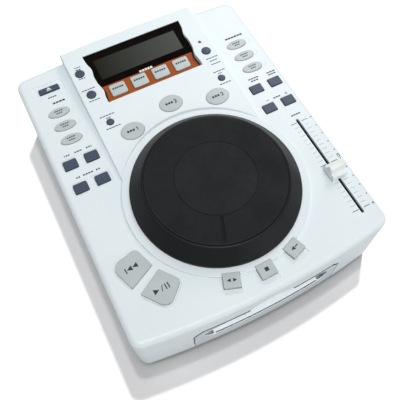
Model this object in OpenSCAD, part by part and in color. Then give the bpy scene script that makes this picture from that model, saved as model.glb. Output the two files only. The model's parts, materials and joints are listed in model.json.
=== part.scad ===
// Tabletop disc player for a disc jockey: jog wheel, pitch fader, display and a motor-driven disc tray.
// Millimetres, +Z up, front of the player towards -Y. Origin: centre of the footprint, at table level.

/* [Casing] */
// Overall width
body_w = 238; // [234:1:246]
// Overall depth, from the middle of the bowed front to the middle of the bowed back
body_d = 300; // [298:1:306]
// Height of the casing from its underside to the side panels
body_h = 72; // [70:1:78]
// How far the front bows out in the middle
front_bow = 9.6; // [6:0.2:11]
// How far the back bows out in the middle
back_bow = 4.5; // [2:0.5:6]
// Plan radius of the four corners
corner_r = 10; // [6:1:12]
// Rounding of the top edge
edge_r = 5; // [3:0.5:6]
// Thickness of the casing walls and panels
wall = 2.5; // [2:0.1:2.6]
// Height of the rubber feet
foot_h = 6; // [4:0.5:10]
// Radius of a rubber foot
foot_r = 9; // [6:0.5:12]
// Distance of the feet from the middle, sideways
foot_x = 92; // [80:1:96]
// Distance of the feet from the middle, lengthways
foot_y = 118; // [100:1:122]
// Thickness of the base plate
base_t = 2.5; // [2:0.1:3]

/* [Centre deck] */
// Offset of the deck and the jog wheel from the middle of the casing
deck_x = 1.5; // [0:0.1:1.8]
// Width of the raised deck
deck_w = 140; // [138:0.5:142]
// Height of the deck above the side panels where it meets the jog ring
deck_rise_front = 2.5; // [2:0.1:3]
// Height of the deck above the side panels at the back
deck_rise_back = 10; // [8:0.5:11]

/* [Jog wheel] */
// Place of the jog wheel's axis from the middle of the casing
jog_y = -46; // [-47:0.1:-45]
// Radius of the jog wheel's rim
jog_r = 74.7; // [73:0.1:74.9]
// Radius of the flat top pad
pad_r = 61.3; // [58:0.1:62]
// Height of the rim's shoulder above the side panels
jog_rim_h = 6; // [5:0.5:8]
// Height of the pad above the side panels
jog_top_h = 19; // [16:0.5:21]
// Gap between the jog wheel and its well
jog_gap = 0.9; // [0.5:0.1:1]
// Outer radius of the raised ring round the well
ring_r = 82; // [81:0.1:83]
// Radius of the jog wheel's shaft
jog_shaft_r = 4; // [3:0.5:5]
// Depth of the well below the side panels
well_depth = 5; // [4.5:0.5:6]

/* [Pitch fader] */
// Distance of the fader's slot from the casing's side
fader_x = 16.8; // [16:0.1:18]
// Travel of the fader
fader_travel = 100; // [90:1:102]
// Middle of the fader's travel
fader_y = -70.4; // [-72:0.1:-69]
// Place of the knob below the middle of its travel
knob_offset = 10; // [-20:0.5:20]
// Width of the slot
slot_w = 2.8; // [2.4:0.1:3.2]
// Thickness of the lever that runs in the slot
lever_t = 1.6; // [1.2:0.1:1.8]

/* [Display] */
// Depth of the window below the deck at the back
sunk_back = 1.5; // [1:0.1:2]
// Depth of the window below the deck at the front
sunk_front = 5.5; // [4:0.1:6]
// Front edge of the window
window_y0 = 77; // [76:0.5:78]
// Back edge of the window
window_y1 = 137; // [136:0.5:138]
// Edge between the black window and the coloured bezel
window_split = 98.5; // [98:0.1:100]
// Thickness of the window and the bezel
window_t = 2; // [1.6:0.1:2.4]

/* [Keys] */
// Gap round a key in its hole
key_gap = 0.35; // [0.3:0.05:0.45]
// Travel of a key
key_travel = 0.8; // [0.5:0.1:1]
// Thickness of the flange that keeps a key in its hole
key_flange_t = 1.2; // [1:0.1:1.4]
// Width of that flange
key_flange_w = 0.9; // [0.7:0.1:1]
// Gap between the flange and the underside of the panel
key_seat = 0.3; // [0.2:0.05:0.4]
// Radius of a key's stem
stem_r = 1.9; // [1.5:0.1:2.2]
// Height of a tact switch on its board
switch_h = 4.3; // [3.8:0.1:4.5]
// Depth of the side boards below the side panels
panel_board_depth = 11; // [10.5:0.5:12]
// Depth of the deck board below the deck
deck_board_depth = 20; // [19.5:0.5:21]
// Depth of the bezel's board below the bezel
bezel_board_depth = 12; // [11:0.5:12.5]

/* [Disc drive] */
// Place of the spindle from the middle of the casing
spindle_y = -76; // [-76.5:0.1:-75.5]
// Radius of the disc recess in the tray
disc_r = 60.6; // [60.3:0.1:61]
// Width of the tray plate
tray_w = 128; // [126:0.5:129]
// Travel of the tray
tray_travel = 136; // [120:1:140]
// Height of the tray's underside above the table
tray_z = 29.5; // [29.5:0.1:31]
// Thickness of the tray plate
tray_t = 5; // [4.5:0.1:5.2]
// Width of the tray's front
tray_front_w = 141; // [140:0.5:143]
// Height of the top of the tray's front above the table
tray_front_top = 54; // [52:0.5:55]
// Teeth on the tray gear
gear_teeth = 24; // [22:1:24]
// Travel of the laser sled
sled_travel = 34; // [28:1:35]

/* [Rear] */
// Width of the socket panel
rear_w = 190; // [180:1:192]
// Height of the socket panel
rear_h = 40; // [36:1:42]
// Radius of a coaxial socket's sleeve
coax_r = 4.15; // [4.1:0.05:4.2]
// Radius of the jack socket's bore
jack_r = 1.8; // [1.75:0.05:1.85]
// Throw of the power rocker in degrees
rocker_throw = 14; // [10:1:16]

/* [Hidden] */
$fn = 96;
eps = 0.01;
big = 400;
running = 0.05;        // radial clearance of a shaft in its bearing
part_gap = 0.3;        // clearance of loosely fitted neighbours
fine_fn = 40;

white = "#E4EEF1";
slate = "#4A5565";
light_grey = "#BFC8CA";
orange = "#C8601E";
black = "#1A1614";
dark = "#2A2D31";
steel = "#9A9FA3";
board_green = "#2F5A3C";

panel_z = foot_h + body_h;
base_top = foot_h + base_t;
shell_z = base_top + part_gap;
side_back_y = body_d / 2 - back_bow;
fader_mid_x = body_w / 2 - fader_x;
deck_back_y = side_back_y;
ring_z = panel_z + deck_rise_front;
deck_front_y = jog_y + 42;
deck_tilt = atan((deck_rise_back - deck_rise_front) / (deck_back_y - deck_front_y));
well_r = jog_r + jog_gap;
well_wall = 1.6;
ring_groove = 0.5;
well_z = panel_z - well_depth;
well_floor_t = 2;

// Window: its plane sinks from the deck's surface, more at the front than at the back
function deck_z(y) = ring_z + (y - deck_front_y) * tan(deck_tilt);
window_z0 = deck_z(window_y0) - sunk_front;
window_z1 = deck_z(window_y1) - sunk_back;
window_tilt = atan((window_z1 - window_z0) / (window_y1 - window_y0));
window_x = deck_x + 0.9;
window_w_back = 104;
window_w_front = 98.5;
window_flange_t = 1.6;
window_flange_w = 1.3;
window_wall = 1.6;
bezel_leg_r = 1.5;
bezel_leg_h = bezel_board_depth - window_t - window_flange_t + 0.5;
// The deck's edge swells towards the window beside each round key
scallop = 1.2;

// Keys, by columns and rows
left_side = -body_w / 2;
right_side = body_w / 2;
left_x = left_side + 26.8;
right_x = right_side - 22.5;
oval_pitch = 16.5;
oval_w = 21;
oval_d = 10.5;
left_oval_y = 92.3;
right_oval_y = 88.8;
pair_pitch = 20.2;
square_w = 13;
square_d = 10.2;
skip_y = 33.7;
search_y = 7.8;
bend_y = 30.7;
range_y = 5.6;
eject_y = 122.2;
eject_w = 20.5;
eject_d = 6.5;
round_r = 4.7;
dot_r = 3.7;
cue_oval_w = 23;
cue_oval_d = 18.2;
// Places on the deck: [from its middle, from its front edge]
TIME_AT = [-60.7, 123];
MODE_AT = [-59.7, 96];
RELAY_AT = [-55.6, 60.4];
RECORD_AT = [60.8, 94];
TAP_AT = [59.3, 58.6];
CUE_POINT_AT = [[-40.9, 42.4], [3.1, 53.9], [45.9, 41.5]];
fx_w = 16.4;
fx_pitch = 22.3;
fx_x = window_x - 1;
// The bezel strip in front of and behind the effect keys
fx_front = 6.3;
fx_back = 1.9;
fx_d = window_split - window_y0 - fx_front - fx_back;
fx_y = window_y0 + fx_front + fx_d / 2;
fx_corner_r = min(2, fx_d / 2 - 0.1);
// Cue and play keys are sectors round the jog wheel: inner and outer radius, and their angles
sector_r0 = 88;
sector_r1 = 113.3;
cue_angle = 200;
play_angle = 217.4;
sector_span = 13.4;
sector_corner_r = 3.5;
// Three square keys stand on the ring's edge
ring_key_r = 85.5;
ring_key_w = 14.7;
ring_key_d = 12.8;
ring_key_step = 20;
ring_key_mid = -89;

function deck_key(name, at, shape) = [name, "deck", deck_x + at[0], deck_front_y + at[1], 0, shape];

// name, surface, x, y, turn, shape
KEYS = [
    ["eject_key", "panel", left_x + 0.5, eject_y, 0, "eject"],
    for (i = [0:2]) [str("loop_key_", i + 1), "panel", left_x, left_oval_y - i * oval_pitch, 0, "oval"],
    for (i = [0:2]) [str("sample_key_", i + 1), "panel",
        right_x - 0.4, right_oval_y - i * oval_pitch, 0, "oval"],
    for (i = [0:1]) [["skip_back_key", "skip_forward_key"][i], "panel",
        left_x - 0.6 + (i - 0.5) * pair_pitch, skip_y, 0, "square"],
    for (i = [0:1]) [["search_back_key", "search_forward_key"][i], "panel",
        left_x - 0.6 + (i - 0.5) * pair_pitch, search_y, 0, "square"],
    for (i = [0:1]) [["range_key", "master_key"][i], "panel",
        right_x + (i - 0.5) * pair_pitch, bend_y, 0, "square"],
    for (i = [0:1]) [["bend_down_key", "bend_up_key"][i], "panel",
        right_x + (i - 0.5) * pair_pitch, range_y, 0, "square"],
    deck_key("time_key", TIME_AT, "round"),
    deck_key("mode_key", MODE_AT, "round"),
    deck_key("relay_key", RELAY_AT, "dot"),
    deck_key("record_key", RECORD_AT, "round"),
    deck_key("tap_key", TAP_AT, "dot"),
    for (i = [0:2]) deck_key(str("cue_point_key_", i + 1), CUE_POINT_AT[i], "cue_oval"),
    for (i = [0:3]) [str("effect_key_", i + 1), "window", fx_x + (i - 1.5) * fx_pitch, fx_y, 0, "effect"],
    ["cue_key", "jog", 0, 0, cue_angle, "sector"],
    ["play_key", "jog", 0, 0, play_angle, "sector"],
    for (i = [0:2]) [["scratch_key", "brake_key", "reverse_key"][i], "jog", 0, 0,
        ring_key_mid + (i - 1) * ring_key_step, "ring_key"],
];
function keys_on(surface) = [for (k = KEYS) if (k[1] == surface) k];
function key_colour(shape) =
    (shape == "eject" || shape == "square" || shape == "round" || shape == "dot") ? slate : light_grey;
function key_proud(shape) =
    shape == "ring_key" ? deck_rise_front + 0.7 :
    shape == "sector" ? 1.6 :
    shape == "effect" ? 1.8 : 1.2;
function panel_t(surface) = surface == "window" ? window_t + window_flange_t : wall;
function board_depth(surface) =
    surface == "deck" ? deck_board_depth :
    surface == "window" ? bezel_board_depth : panel_board_depth;
// A key's own middle, along the line from the jog wheel's axis where it is placed by angle
function key_middle(shape) =
    shape == "sector" ? (sector_r0 + sector_r1) / 2 :
    shape == "ring_key" ? ring_key_r : 0;

// Boards: [x0, x1, y0, y1] and the bosses that carry them
board_t = 1.6;
boss_r = 3;
board_edge = 10;       // from the casing's side to a side board
boss_in = 4;           // from a board's edge to a boss
deck_left = deck_x - deck_w / 2;
deck_right = deck_x + deck_w / 2;
LEFT_BOARD = [left_side + board_edge, deck_left - 3.5, search_y - 7.8, eject_y + 9.8];
LEFT_BOSSES = [
    [LEFT_BOARD[0] + boss_in, skip_y + 12.3], [LEFT_BOARD[1] - boss_in, skip_y + 12.3],
    [left_x, left_oval_y + 15.7]];
RIGHT_BOARD = [deck_right + 4.5, right_side - board_edge, range_y - 7.6, right_oval_y + 19.2];
RIGHT_BOSSES = [
    [RIGHT_BOARD[0] + 3, bend_y + 13.3], [RIGHT_BOARD[1] - 3.5, bend_y + 13.3],
    [right_x, RIGHT_BOARD[3] - 5]];
CUE_BOARD = [left_side + board_edge + 1, deck_left + 12.5, jog_y - 87, jog_y - 12];
CUE_BOSSES = [
    [CUE_BOARD[0] + boss_in, CUE_BOARD[3] - 5], [CUE_BOARD[0] + 5, CUE_BOARD[2] + 6],
    [CUE_BOARD[1] - boss_in, CUE_BOARD[2] + boss_in]];
FRONT_BOARD = [deck_x - 43.5, deck_x + 46.5, jog_y - 93, jog_y - 72];
FRONT_BOSSES = [for (side = [-13.7, 16.3]) [deck_x + side, FRONT_BOARD[2] + boss_in]];
DECK_BOARD = [deck_left + 3.5, deck_right - 3.5, deck_front_y + 32, window_y1 + 3];
DECK_BOSSES = [
    [DECK_BOARD[0] + boss_in, DECK_BOARD[3] - boss_in], [DECK_BOARD[1] - 3, DECK_BOARD[3] - boss_in],
    [DECK_BOARD[0] + boss_in, window_y0 - 3], [DECK_BOARD[1] - 3, window_y0 - boss_in]];
FX_BOARD = [window_x - 47, window_x + 47, fx_y - 9, fx_y + 9];

// Casing screws
POSTS = [for (sx = [-1, 1], y = [26 - body_d / 2, jog_y + 32, side_back_y - 13.5])
    [sx * (body_w / 2 - wall - 3), y]];
post_r = 4;
screw_r = 1.5;
screw_len = 12;
screw_head_r = 2.8;
screw_head_t = 1.2;
screw_head_sunk = 0.3;

// Disc drive heights
drive_z = tray_z - 7.5;
drive_t = 2.5;
drive_top = drive_z + drive_t;
drive_w = 140;
drive_y0 = 14 - body_d / 2;
drive_y1 = drive_y0 + 172;
rail_w = 5.4;
rail_top = tray_z + 12.5;
tongue_w = 2.9;
tongue_t = 2;
tray_back_y = -body_d / 2 + 8.5;
slot_half = 17.5;
bridge_t = 2;
bridge_half = 13;
spindle_cap_r = 14;
disc_t = 1.2;
disc_recess = 1.6;
small_disc_r = 40.5;
small_disc_recess = 1;
turntable_z = tray_z + tray_t - disc_recess + 0.3;
clamp_r = 14;
clamp_neck_r = 8;
clamp_z = turntable_z + disc_t + 1;
motor_r = 14;
motor_h = 11.5;
spindle_r = 1.5;
rod_r = 1.5;
rod_x = 12;
rod_z = drive_top + 2;
rod_y0 = spindle_y + motor_r;
rod_y1 = rod_y0 + sled_travel + 35;
sled_l = 22;
sled_y = spindle_y + 17;
sled_half = 16;
lens_y = spindle_y + 24;
tooth_m = 1;
pressure_angle = 20;
gear_r = tooth_m * gear_teeth / 2;
gear_y = drive_y0 + 16;
rack_y0 = gear_y - 6;
tray_y1 = rack_y0 + tray_travel + 10;
rack_x = 46;
gear_x = rack_x - gear_r;
gear_t = 4;
gear_z = tray_z - part_gap - gear_t;
backlash = 0.3;
addendum = 0.8 * tooth_m;
dedendum = 1.15 * tooth_m;
gear_pin_r = 2;

// Rear
rear_z = foot_h + 33;
rear_back_y = side_back_y - wall - 5.5;
rear_plate_t = 2;
rear_flange = 2;
COAX_X = [26, 44, 62];
jack_x = 82;
inlet_x = -84;
rocker_x = -58;
rocker_w = 11;
rocker_h = 17;
coax_len = 8.2;
plug_gap = 0.8;        // room for a plug's ring round a socket's sleeve
jack_depth = 14;
jack_collar_r = 3.8;
inlet_collar_r = 5.5;
inlet_bore_r = 3.1;
inlet_pin_r = 1;
socket_block = 12;
socket_block_d = 9;

// ---------------------------------------------------------------- outlines

// Plan of the casing: bowed front and back, rounded corners
module plan() {
    front_arc_r = (body_w * body_w / 4 + front_bow * front_bow) / (2 * front_bow);
    back_arc_r = (body_w * body_w / 4 + back_bow * back_bow) / (2 * back_bow);
    offset(r = corner_r, $fn = fine_fn)
        offset(delta = -corner_r)
            intersection() {
                square([body_w, body_d], center = true);
                translate([0, -body_d / 2 + front_arc_r]) circle(front_arc_r, $fn = 480);
                translate([0, body_d / 2 - back_arc_r]) circle(back_arc_r, $fn = 720);
            }
}

module deck_plan(inset = 0)
    offset(delta = -inset)
        intersection() {
            plan();
            translate([deck_x - deck_w / 2, deck_front_y]) square([deck_w, body_d]);
        }

module ellipse(w, d)
    polygon([for (i = [0:fine_fn - 1]) [w / 2 * cos(360 * i / fine_fn), d / 2 * sin(360 * i / fine_fn)]]);

module rounded_rect(w, d, r)
    offset(r = r, $fn = 24) square([w - 2 * r, d - 2 * r], center = true);

// Part of a ring round the origin, centred on the +X direction
module sector(r0, r1, span) {
    steps = 8;
    polygon([
        for (i = [0:steps]) let (a = span * (i / steps - 0.5)) r0 * [cos(a), sin(a)],
        for (i = [0:steps]) let (a = span * (0.5 - i / steps)) r1 * [cos(a), sin(a)],
    ]);
}

module key_outline(shape) {
    if (shape == "oval") ellipse(oval_w, oval_d);
    if (shape == "cue_oval") ellipse(cue_oval_w, cue_oval_d);
    if (shape == "square") rounded_rect(square_w, square_d, 1.2);
    if (shape == "eject") rounded_rect(eject_w, eject_d, 1);
    if (shape == "effect") rounded_rect(fx_w, fx_d, fx_corner_r);
    if (shape == "round") circle(round_r, $fn = fine_fn);
    if (shape == "dot") circle(dot_r, $fn = fine_fn);
    if (shape == "ring_key") translate([ring_key_r, 0]) rounded_rect(ring_key_d, ring_key_w, 0.6);
    if (shape == "sector")
        offset(r = sector_corner_r, $fn = 24)
            offset(delta = -sector_corner_r) sector(sector_r0, sector_r1, sector_span);
}

// The window's outline in plan, with a swelling beside each round key
module window_plan() {
    steps = 24;
    span = window_y1 - window_y0;
    function half_w(t) =
        (window_w_front + (window_w_back - window_w_front) * t) / 2
        - scallop * (exp(-pow((t - 0.7) / 0.1, 2)) + exp(-pow((t - 0.25) / 0.1, 2)));
    polygon([
        for (i = [0:steps]) [window_x - half_w(i / steps), window_y0 + span * i / steps],
        for (i = [steps:-1:0]) [window_x + half_w(i / steps), window_y0 + span * i / steps],
    ]);
}

// ---------------------------------------------------------------- places

module on_deck()
    translate([0, deck_front_y, ring_z]) rotate([deck_tilt, 0, 0])
        translate([0, -deck_front_y, 0]) children();

module on_window()
    translate([0, window_y0, window_z0]) rotate([window_tilt, 0, 0])
        translate([0, -window_y0, 0]) children();

module on_surface(surface) {
    if (surface == "panel") translate([0, 0, panel_z]) children();
    if (surface == "deck") on_deck() children();
    if (surface == "window") on_window() children();
    if (surface == "jog") translate([deck_x, jog_y, panel_z]) children();
}

module at_key(k)
    on_surface(k[1]) translate([k[2], k[3], 0]) rotate([0, 0, k[4]]) children();

// ---------------------------------------------------------------- keys

module key(k) {
    shape = k[5];
    flange_z = -(panel_t(k[1]) + key_seat + key_flange_t);
    stem_z = -board_depth(k[1]) + switch_h + key_travel + key_seat;
    color(key_colour(shape))
        at_key(k) {
            translate([0, 0, flange_z])
                linear_extrude(key_proud(shape) - flange_z) offset(delta = -key_gap) key_outline(shape);
            translate([0, 0, flange_z])
                linear_extrude(key_flange_t) offset(delta = key_flange_w) key_outline(shape);
            translate([key_middle(shape), 0, stem_z])
                cylinder(h = flange_z - stem_z + eps, r = stem_r, $fn = fine_fn);
        }
}

module key_holes(surface, from, to)
    for (k = keys_on(surface))
        at_key(k) translate([0, 0, from]) linear_extrude(to - from) key_outline(k[5]);

module switches(surface)
    for (k = keys_on(surface))
        at_key(k)
            translate([key_middle(k[5]), 0, -board_depth(surface)]) {
                translate([-3, -3, -eps]) cube([6, 6, switch_h - 0.8 + eps]);
                cylinder(h = switch_h, r = 1.7, $fn = fine_fn);
            }

module board(b, depth)
    translate([b[0], b[2], -depth - board_t]) cube([b[1] - b[0], b[3] - b[2], board_t]);

module bosses(points, depth, top)
    for (p = points) translate([p[0], p[1], -depth]) cylinder(h = depth - top, r = boss_r, $fn = fine_fn);

// Tact switches and the boards that carry them, hung from the casing's bosses
module panel_board() color(board_green) {
    translate([0, 0, panel_z]) {
        board(LEFT_BOARD, panel_board_depth);
        board(RIGHT_BOARD, panel_board_depth);
        board(CUE_BOARD, panel_board_depth);
        board(FRONT_BOARD, panel_board_depth);
    }
    on_deck() board(DECK_BOARD, deck_board_depth);
    on_window() board(FX_BOARD, bezel_board_depth);
    for (s = ["panel", "deck", "window", "jog"]) switches(s);
}

// ---------------------------------------------------------------- casing

// Outer form of the lower casing with its rounded top edge
module shell_form() {
    steps = 5;
    hull()
        for (i = [0:steps]) {
            a = 90 * i / steps;
            translate([0, 0, i == 0 ? shell_z : panel_z - edge_r * (1 - sin(a)) - eps])
                linear_extrude(eps) offset(delta = -edge_r * (1 - cos(a))) plan();
        }
}

// Everything under the deck's sloping surface, lowered by drop
module under_deck(drop = 0)
    on_deck() translate([-big / 2, -big / 2, -big - drop]) cube([big, big, big]);

module deck_form() {
    chamfer = 1.2;
    difference() {
        intersection() {
            translate([0, 0, panel_z - wall]) linear_extrude(40) deck_plan();
            under_deck();
        }
        for (sx = [-1, 1])
            on_deck() translate([deck_x + sx * deck_w / 2, 0, 0])
                rotate([0, 45, 0]) cube([chamfer * sqrt(2), big, chamfer * sqrt(2)], center = true);
    }
}

module hollow() {
    translate([0, 0, shell_z - 1]) linear_extrude(panel_z - wall - shell_z + 1) offset(delta = -wall) plan();
    intersection() {
        translate([0, 0, panel_z - wall - 1]) linear_extrude(40) deck_plan(wall);
        under_deck(wall);
    }
}

// Outline of the tray's front seen from the front, grown by gap
module tray_front_outline(gap = 0) {
    half = tray_front_w / 2;
    corner = 8;
    arch_w = 26;
    arch_h = 9.5;
    bottom = base_top + 0.7;
    steps = 12;
    offset(delta = gap)
        polygon([
            [-half, bottom],
            [half, bottom],
            [half, tray_front_top - corner],
            [half - corner, tray_front_top],
            for (i = [0:steps]) let (t = 1 - 2 * i / steps)
                [deck_x + arch_w * t, tray_front_top + arch_h * pow(cos(90 * t), 2)],
            [-half + corner, tray_front_top],
            [-half, tray_front_top - corner],
        ]);
}

// Turns an outline drawn in X and Z into a block between two depths
module front_block(y0, y1)
    translate([0, y1, 0]) rotate([90, 0, 0]) linear_extrude(y1 - y0) children();

module window_wall_form() {
    difference() {
        on_deck() translate([0, 0, -14]) linear_extrude(14 - 0.5)
            offset(delta = window_wall) window_plan();
        on_window() translate([-big / 2, -big / 2, -window_t - big]) cube([big, big, big]);
    }
}

module top_case() color(white) {
    difference() {
        union() {
            difference() {
                union() {
                    shell_form();
                    deck_form();
                    translate([deck_x, jog_y, panel_z - wall])
                        cylinder(h = wall + deck_rise_front + 3, r = ring_r);
                }
                hollow();
            }
            translate([deck_x, jog_y, well_z - well_floor_t])
                cylinder(h = panel_z - well_z + well_floor_t, r = well_r + well_wall);
            window_wall_form();
            for (p = POSTS)
                translate([p[0], p[1], base_top])
                    cylinder(h = panel_z - base_top - wall + 1, r = post_r, $fn = fine_fn);
            translate([0, 0, panel_z]) {
                bosses(LEFT_BOSSES, panel_board_depth, wall - 0.5);
                bosses(RIGHT_BOSSES, panel_board_depth, wall - 0.5);
                bosses(CUE_BOSSES, panel_board_depth, wall - 0.5);
                bosses(FRONT_BOSSES, panel_board_depth, wall - 0.5);
            }
            on_deck() bosses(DECK_BOSSES, deck_board_depth, wall - 0.5);
            fader_bosses();
        }
        // the jog wheel's well and everything above the ring inside it
        translate([deck_x, jog_y, well_z]) cylinder(h = 40, r = well_r);
        translate([deck_x, jog_y, ring_z]) cylinder(h = 40, r = ring_r + ring_groove);
        translate([deck_x, jog_y, well_z - well_floor_t - 1]) cylinder(h = 10, r = bush_r + part_gap);
        key_holes("panel", -wall - 1, 6);
        key_holes("jog", -wall - 1, 6);
        key_holes("deck", -wall - 1, 6);
        on_deck() translate([0, 0, -20]) linear_extrude(30) window_plan();
        on_deck() translate([led_x, led_y, -wall - 1]) cylinder(h = 10, r = led_r + 0.1, $fn = fine_fn);
        panel_recesses();
        // pitch fader slot
        translate([fader_mid_x, fader_y, panel_z - wall - 1])
            linear_extrude(wall + 2) rounded_rect(slot_w, fader_travel + 8, slot_w / 2 - 0.1);
        front_block(-body_d / 2 - 5, -body_d / 2 + 16) tray_front_outline(0.5);
        // rear opening for the socket panel
        translate([-rear_w / 2, side_back_y - 10, rear_z - rear_h / 2]) cube([rear_w, 30, rear_h]);
        for (p = POSTS)
            translate([p[0], p[1], base_top - 1])
                cylinder(h = screw_len, r = screw_r + running, $fn = fine_fn);
    }
}

// Shallow recesses that frame the keys
module panel_recesses() {
    depth = 0.6;
    translate([0, 0, panel_z - depth]) linear_extrude(5) {
        translate([left_x + 0.5, eject_y + 1]) rounded_rect(30, 14, 0.6);
        for (y = [skip_y, search_y]) translate([left_x - 0.6, y]) rounded_rect(37, 11.6, 2.4);
    }
    translate([deck_x, jog_y, panel_z - depth])
        for (i = [-1:1]) rotate([0, 0, ring_key_mid + i * ring_key_step])
            translate([ring_key_r + ring_key_d / 2 + 1.9, 0, 0]) linear_extrude(5)
                rounded_rect(5, ring_key_w, 0.5);
}

// Status lamp
led_x = deck_x + 60.1;
led_y = deck_front_y + 106.6;
led_r = 1.5;
module status_led() color("#8A1A1E")
    on_deck() translate([led_x, led_y, 0]) {
        translate([0, 0, -wall - 2]) cylinder(h = wall + 2.4, r = led_r, $fn = fine_fn);
        translate([0, 0, -wall - 2.6]) cylinder(h = 2.5, r = led_r + 0.8, $fn = fine_fn);
        translate([0, 0, -deck_board_depth])
            cylinder(h = deck_board_depth - wall - 2.5, r = 0.6, $fn = fine_fn);
    }

module bottom_case() color(white) {
    rim_h = 6;
    rim_t = 2;
    difference() {
        union() {
            translate([0, 0, foot_h]) linear_extrude(base_t) offset(delta = -0.5) plan();
            difference() {
                translate([0, 0, base_top - 0.5])
                    linear_extrude(rim_h) offset(delta = -wall - part_gap) plan();
                translate([0, 0, base_top])
                    linear_extrude(rim_h) offset(delta = -wall - part_gap - rim_t) plan();
                // rim left out behind the tray's front
                translate([-tray_front_w / 2 - 4, -body_d / 2, base_top]) cube([tray_front_w + 8, 20, rim_h]);
                for (p = POSTS)
                    translate([p[0], p[1], base_top])
                        cylinder(h = rim_h, r = post_r + part_gap, $fn = fine_fn);
            }
            for (sx = [-1, 1]) {
                for (y = [drive_y0 + 8, drive_y1 - 8])
                    translate([sx * (drive_w / 2 - 8), y, base_top - 0.5])
                        cylinder(h = drive_z - base_top + 0.5, r = 3.5, $fn = fine_fn);
                for (y = MAIN_BOARD_Y)
                    translate([sx * (main_board_w / 2 - main_board_edge), y, base_top - 0.5])
                        cylinder(h = main_board_z - base_top + 0.5, r = boss_r, $fn = fine_fn);
            }
        }
        for (p = POSTS) {
            translate([p[0], p[1], foot_h - 1]) cylinder(h = base_t + 2, r = screw_r + 0.4, $fn = fine_fn);
            translate([p[0], p[1], foot_h - 1])
                cylinder(h = 1 + screw_head_sunk + screw_head_t, r = screw_head_r + 0.4, $fn = fine_fn);
        }
    }
}

module rubber_feet() color(dark)
    for (sx = [-1, 1], sy = [-1, 1])
        translate([sx * foot_x, sy * foot_y, 0])
            rotate_extrude($fn = fine_fn)
                polygon([[0, 0], [foot_r - 1.5, 0], [foot_r - 0.5, 1], [foot_r, foot_h], [0, foot_h]]);

module case_screws() color(steel)
    for (p = POSTS)
        translate([p[0], p[1], foot_h + screw_head_sunk]) {
            cylinder(h = screw_head_t, r = screw_head_r, $fn = fine_fn);
            cylinder(h = screw_len, r = screw_r, $fn = fine_fn);
        }

// ---------------------------------------------------------------- display

module window_part(y0, y1)
    on_window() {
        intersection() {
            translate([0, 0, -window_t]) linear_extrude(window_t) offset(delta = -0.3) window_plan();
            translate([-big / 2, y0, -big / 2]) cube([big, y1 - y0, big]);
        }
        intersection() {
            translate([0, 0, -window_t - window_flange_t])
                linear_extrude(window_flange_t) offset(delta = window_flange_w) window_plan();
            translate([-big / 2, y0 - (y0 == window_y0 ? 5 : 0), -big / 2])
                cube([big, y1 - y0 + (y0 == window_y0 ? 5 : 0) + (y1 == window_y1 ? 5 : 0), big]);
        }
    }

module display_window() color(black) window_part(window_split, window_y1);

module effect_bezel() color(orange) {
    difference() {
        window_part(window_y0, window_split);
        key_holes("window", -window_t - window_flange_t - 1, 4);
    }
    // legs that carry the bezel's own key board
    on_window()
        for (i = [0, 1, 3, 4])
            translate([fx_x + (i - 2) * fx_pitch, fx_y, -bezel_board_depth])
                cylinder(h = bezel_leg_h, r = bezel_leg_r, $fn = fine_fn);
}

lcd_w = 92;
lcd_t = 4.5;
lcd_front = 3;         // from the bezel strip to the glass
lcd_board_w = 100;

module lcd_module() color(dark)
    on_window() {
        top = -window_t - window_flange_t;
        glass_d = window_y1 - window_split - lcd_front - 2;
        translate([window_x - lcd_w / 2, window_split + lcd_front, top - lcd_t])
            cube([lcd_w, glass_d, lcd_t]);
        translate([window_x - lcd_board_w / 2, window_split + 1, top - lcd_t - 1.5])
            cube([lcd_board_w, window_y1 - window_split - 1, board_t]);
    }

// ---------------------------------------------------------------- jog wheel

bush_r = 9;
bearing_z = well_z - well_floor_t;
bearing_flange_t = 3;
jog_hub_z = panel_z + 2;
encoder_r = 20;
encoder_t = 1.2;
bush_z = bearing_z - 9;

module jog_bearing() color(steel)
    translate([deck_x, jog_y, 0])
        difference() {
            union() {
                translate([0, 0, bush_z]) cylinder(h = jog_hub_z - part_gap - bush_z, r = bush_r);
                translate([0, 0, bearing_z - bearing_flange_t]) cylinder(h = bearing_flange_t, r = 18);
            }
            translate([0, 0, bush_z - 1]) cylinder(h = 40, r = jog_shaft_r + running);
        }

module jog_wheel() color(dark) {
    top = jog_top_h - 2.5;
    t = 3;
    translate([deck_x, jog_y, panel_z])
        rotate_extrude($fn = 192)
            polygon([
                [jog_shaft_r, jog_hub_z - panel_z],
                [10, jog_hub_z - panel_z],
                [11, top - t],
                [pad_r - 2, top - t],
                [jog_r - t, jog_rim_h - 1],
                [jog_r - t, -well_depth + 2],
                [jog_r, -well_depth + 2],
                [jog_r, jog_rim_h],
                [pad_r + 1.2, jog_top_h - 0.6],
                [pad_r + 0.4, jog_top_h - 0.6],
                [pad_r + 0.4, top],
                [jog_shaft_r, top],
            ]);
}

module jog_pad() color(black) {
    groove_r = 35;
    translate([deck_x, jog_y, panel_z])
        rotate_extrude($fn = 192)
            polygon([
                [0, jog_top_h - 2.5],
                [pad_r, jog_top_h - 2.5],
                [pad_r, jog_top_h - 0.5],
                [pad_r - 0.5, jog_top_h],
                [groove_r + 0.5, jog_top_h],
                [groove_r, jog_top_h - 0.4],
                [groove_r - 0.5, jog_top_h],
                [0, jog_top_h],
            ]);
}

// Steel shaft with the slotted timing disc below the bearing
module jog_shaft() color(steel) {
    slots = 24;
    translate([deck_x, jog_y, 0]) {
        translate([0, 0, bush_z - part_gap - encoder_t])
            cylinder(h = panel_z + jog_top_h - 2.5 - bush_z + part_gap + encoder_t, r = jog_shaft_r);
        difference() {
            translate([0, 0, bush_z - part_gap - encoder_t]) cylinder(h = encoder_t, r = encoder_r);
            for (i = [0:slots - 1])
                rotate([0, 0, 360 * i / slots])
                    translate([encoder_r - 5, -0.8, bush_z - 5]) cube([3, 1.6, 10]);
        }
    }
}

// ---------------------------------------------------------------- pitch fader

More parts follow.
